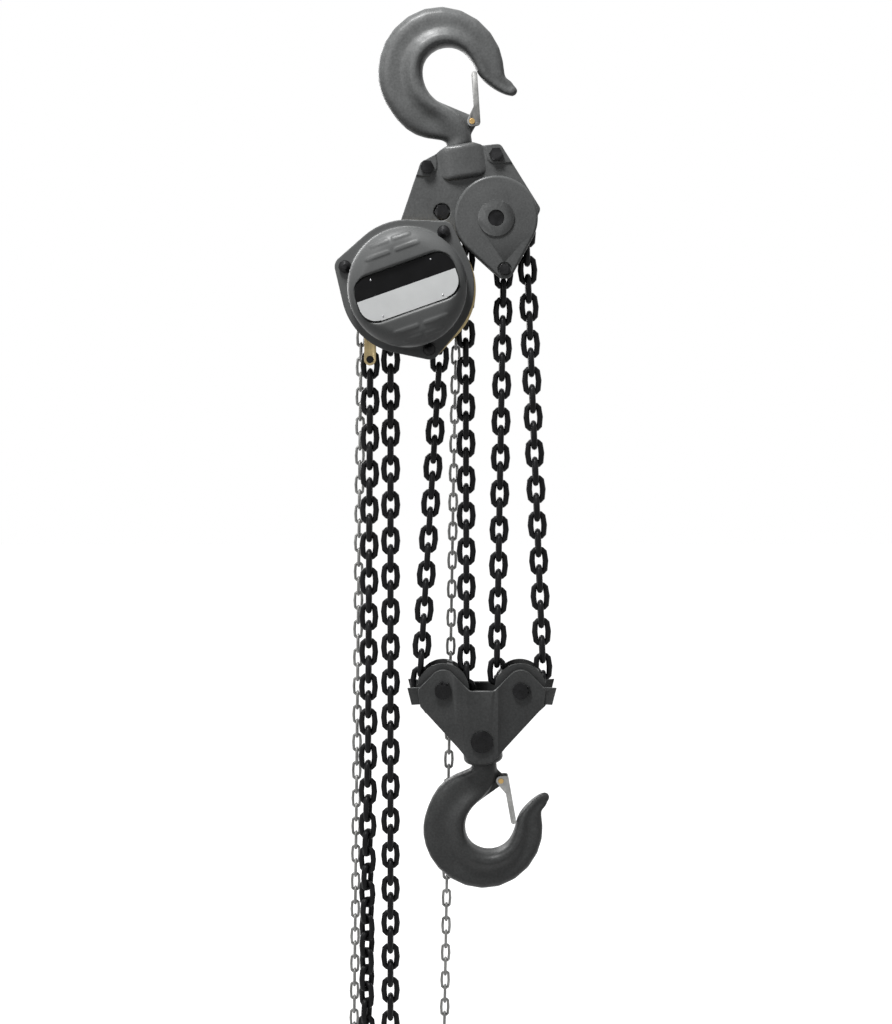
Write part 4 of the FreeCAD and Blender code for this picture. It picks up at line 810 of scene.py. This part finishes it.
def pale_floor():
    """The floor's material: a little grey under the hoist and white further off."""
    pale = bpy.data.materials.new("pale_floor")
    pale.use_nodes = True
    tree = pale.node_tree
    shader = tree.nodes["Principled BSDF"]
    shader.inputs["Base Color"].default_value = (0.6, 0.6, 0.6, 1)
    shader.inputs["Roughness"].default_value = 0.9
    shader.inputs["Emission Color"].default_value = (1, 1, 1, 1)
    away = shader_node(tree, "VectorMath", {}, operation="LENGTH")
    coords = shader_node(tree, "TexCoord", {}).outputs["Object"]
    tree.links.new(coords, away.inputs[0])
    # It glows by 0.8 up to 0.8 m from its middle, and fully from 3.5 m on.
    fade = shader_node(tree, "MapRange", {
        "From Min": 0.8, "From Max": 3.5, "To Min": 0.8, "To Max": 1.0})
    tree.links.new(away.outputs["Value"], fade.inputs["Value"])
    glow = shader_node(tree, "Math", {}, operation="MULTIPLY")
    tree.links.new(seen_rays(tree), glow.inputs[0])
    tree.links.new(fade.outputs["Result"], glow.inputs[1])
    tree.links.new(glow.outputs[0], shader.inputs["Emission Strength"])
    return pale


def soft_room():
    """A world that is white to look at and gives little light."""
    world = bpy.data.worlds.new("soft_room")
    world.use_nodes = True
    tree = world.node_tree
    room = tree.nodes["Background"]
    room.inputs["Color"].default_value = (1, 1, 1, 1)
    strength = shader_node(tree, "MapRange", {"To Min": 0.04, "To Max": 1.0})
    tree.links.new(seen_rays(tree), strength.inputs["Value"])
    tree.links.new(strength.outputs["Result"], room.inputs["Strength"])
    return world


def add_lamp(name, place, aim, size, watts, cone=180):
    """A rectangular lamp that faces a height on the hoist's upright axis."""
    lamp = bpy.data.lights.new(name, "AREA")
    lamp.shape = "RECTANGLE"
    lamp.size, lamp.size_y = size
    lamp.energy = watts
    lamp.spread = radians(cone)
    holder = bpy.data.objects.new(name, lamp)
    holder.location = place
    facing = Vector((0, 0, aim)) - Vector(place)
    holder.rotation_euler = facing.to_track_quat("-Z", "Y").to_euler()
    holder.visible_camera = False
    bpy.context.collection.objects.link(holder)


def photo_camera():
    """The camera that took the photo, as its pixels place it."""
    eye = bpy.data.cameras.new("photo_camera")
    eye.lens = focal_length / picture_height * sensor_width
    eye.sensor_width = sensor_width
    eye.sensor_fit = "AUTO"
    eye.clip_start = 0.01
    camera = bpy.data.objects.new("photo_camera", eye)
    turn = Matrix.Rotation(pi / 2 - camera_tilt, 4, "X")
    camera.matrix_world = Matrix.Translation(camera_place) @ turn
    bpy.context.collection.objects.link(camera)
    return camera


class HOIST_OT_stage(bpy.types.Operator):
    """Sets up the pale floor, the soft lights and the camera"""
    bl_idname = "hoist.stage"
    bl_label = "Stage"

    def execute(self, context):
        bpy.ops.object.select_all(action="DESELECT")
        bpy.ops.mesh.primitive_plane_add(size=floor_width, location=(0, 0, floor_height))
        floor = context.object
        floor.name = "floor"
        floor.data.materials.append(pale_floor())
        context.scene.world = soft_room()
        add_lamp("key_light", (-0.45, -0.65, 1.2), aim=-0.1, size=(0.5, 0.5), watts=66)
        add_lamp("strip_light", (-1.1, -1.6, 0.3), aim=-0.1, size=(0.14, 0.8), watts=9)
        add_lamp("low_light", (-0.7, -0.4, -0.7), aim=-1.4, size=(0.2, 0.2), watts=0.2, cone=75)
        add_lamp("fill_light", (2.2, -2.0, 0.3), aim=-0.1, size=(1.6, 1.6), watts=1.0)
        add_lamp("back_light", (-1.2, 2.0, 0.0), aim=-0.5, size=(1.4, 1.4), watts=34)
        context.scene.camera = photo_camera()
        context.scene.view_settings.view_transform = "Standard"
        return {"FINISHED"}


class HOIST_PT_panel(bpy.types.Panel):
    """Sizes, colours and the steps that finish the hoist"""
    bl_idname = "HOIST_PT_panel"
    bl_label = "Hand Chain Hoist"
    bl_space_type = "VIEW_3D"
    bl_region_type = "UI"
    bl_category = "Hoist"

    def draw(self, context):
        for group in (context.scene.hoist_sizes, context.scene.hoist_colours):
            for key in group.__annotations__:
                self.layout.prop(group, key)
        for step in steps:
            self.layout.operator(step.bl_idname)


steps = (HOIST_OT_load_chain, HOIST_OT_hand_chain, HOIST_OT_hooks, HOIST_OT_plates,
         HOIST_OT_covers, HOIST_OT_data_plate, HOIST_OT_fasteners, HOIST_OT_inner_works,
         HOIST_OT_stage)
classes = (HoistSizes, HoistColours, *steps, HOIST_PT_panel)


def register():
    for kind in classes:
        bpy.utils.register_class(kind)
    bpy.types.Scene.hoist_sizes = bpy.props.PointerProperty(type=HoistSizes)
    bpy.types.Scene.hoist_colours = bpy.props.PointerProperty(type=HoistColours)


def unregister():
    del bpy.types.Scene.hoist_colours
    del bpy.types.Scene.hoist_sizes
    for kind in reversed(classes):
        bpy.utils.unregister_class(kind)


def main():
    register()
    bpy.ops.hoist.load_chain()
    bpy.ops.hoist.hand_chain()
    bpy.ops.hoist.hooks()
    bpy.ops.hoist.plates()
    bpy.ops.hoist.covers()
    bpy.ops.hoist.data_plate()
    bpy.ops.hoist.fasteners()
    bpy.ops.hoist.inner_works()
    bpy.ops.hoist.stage()


if __name__ == "__main__":
    main()
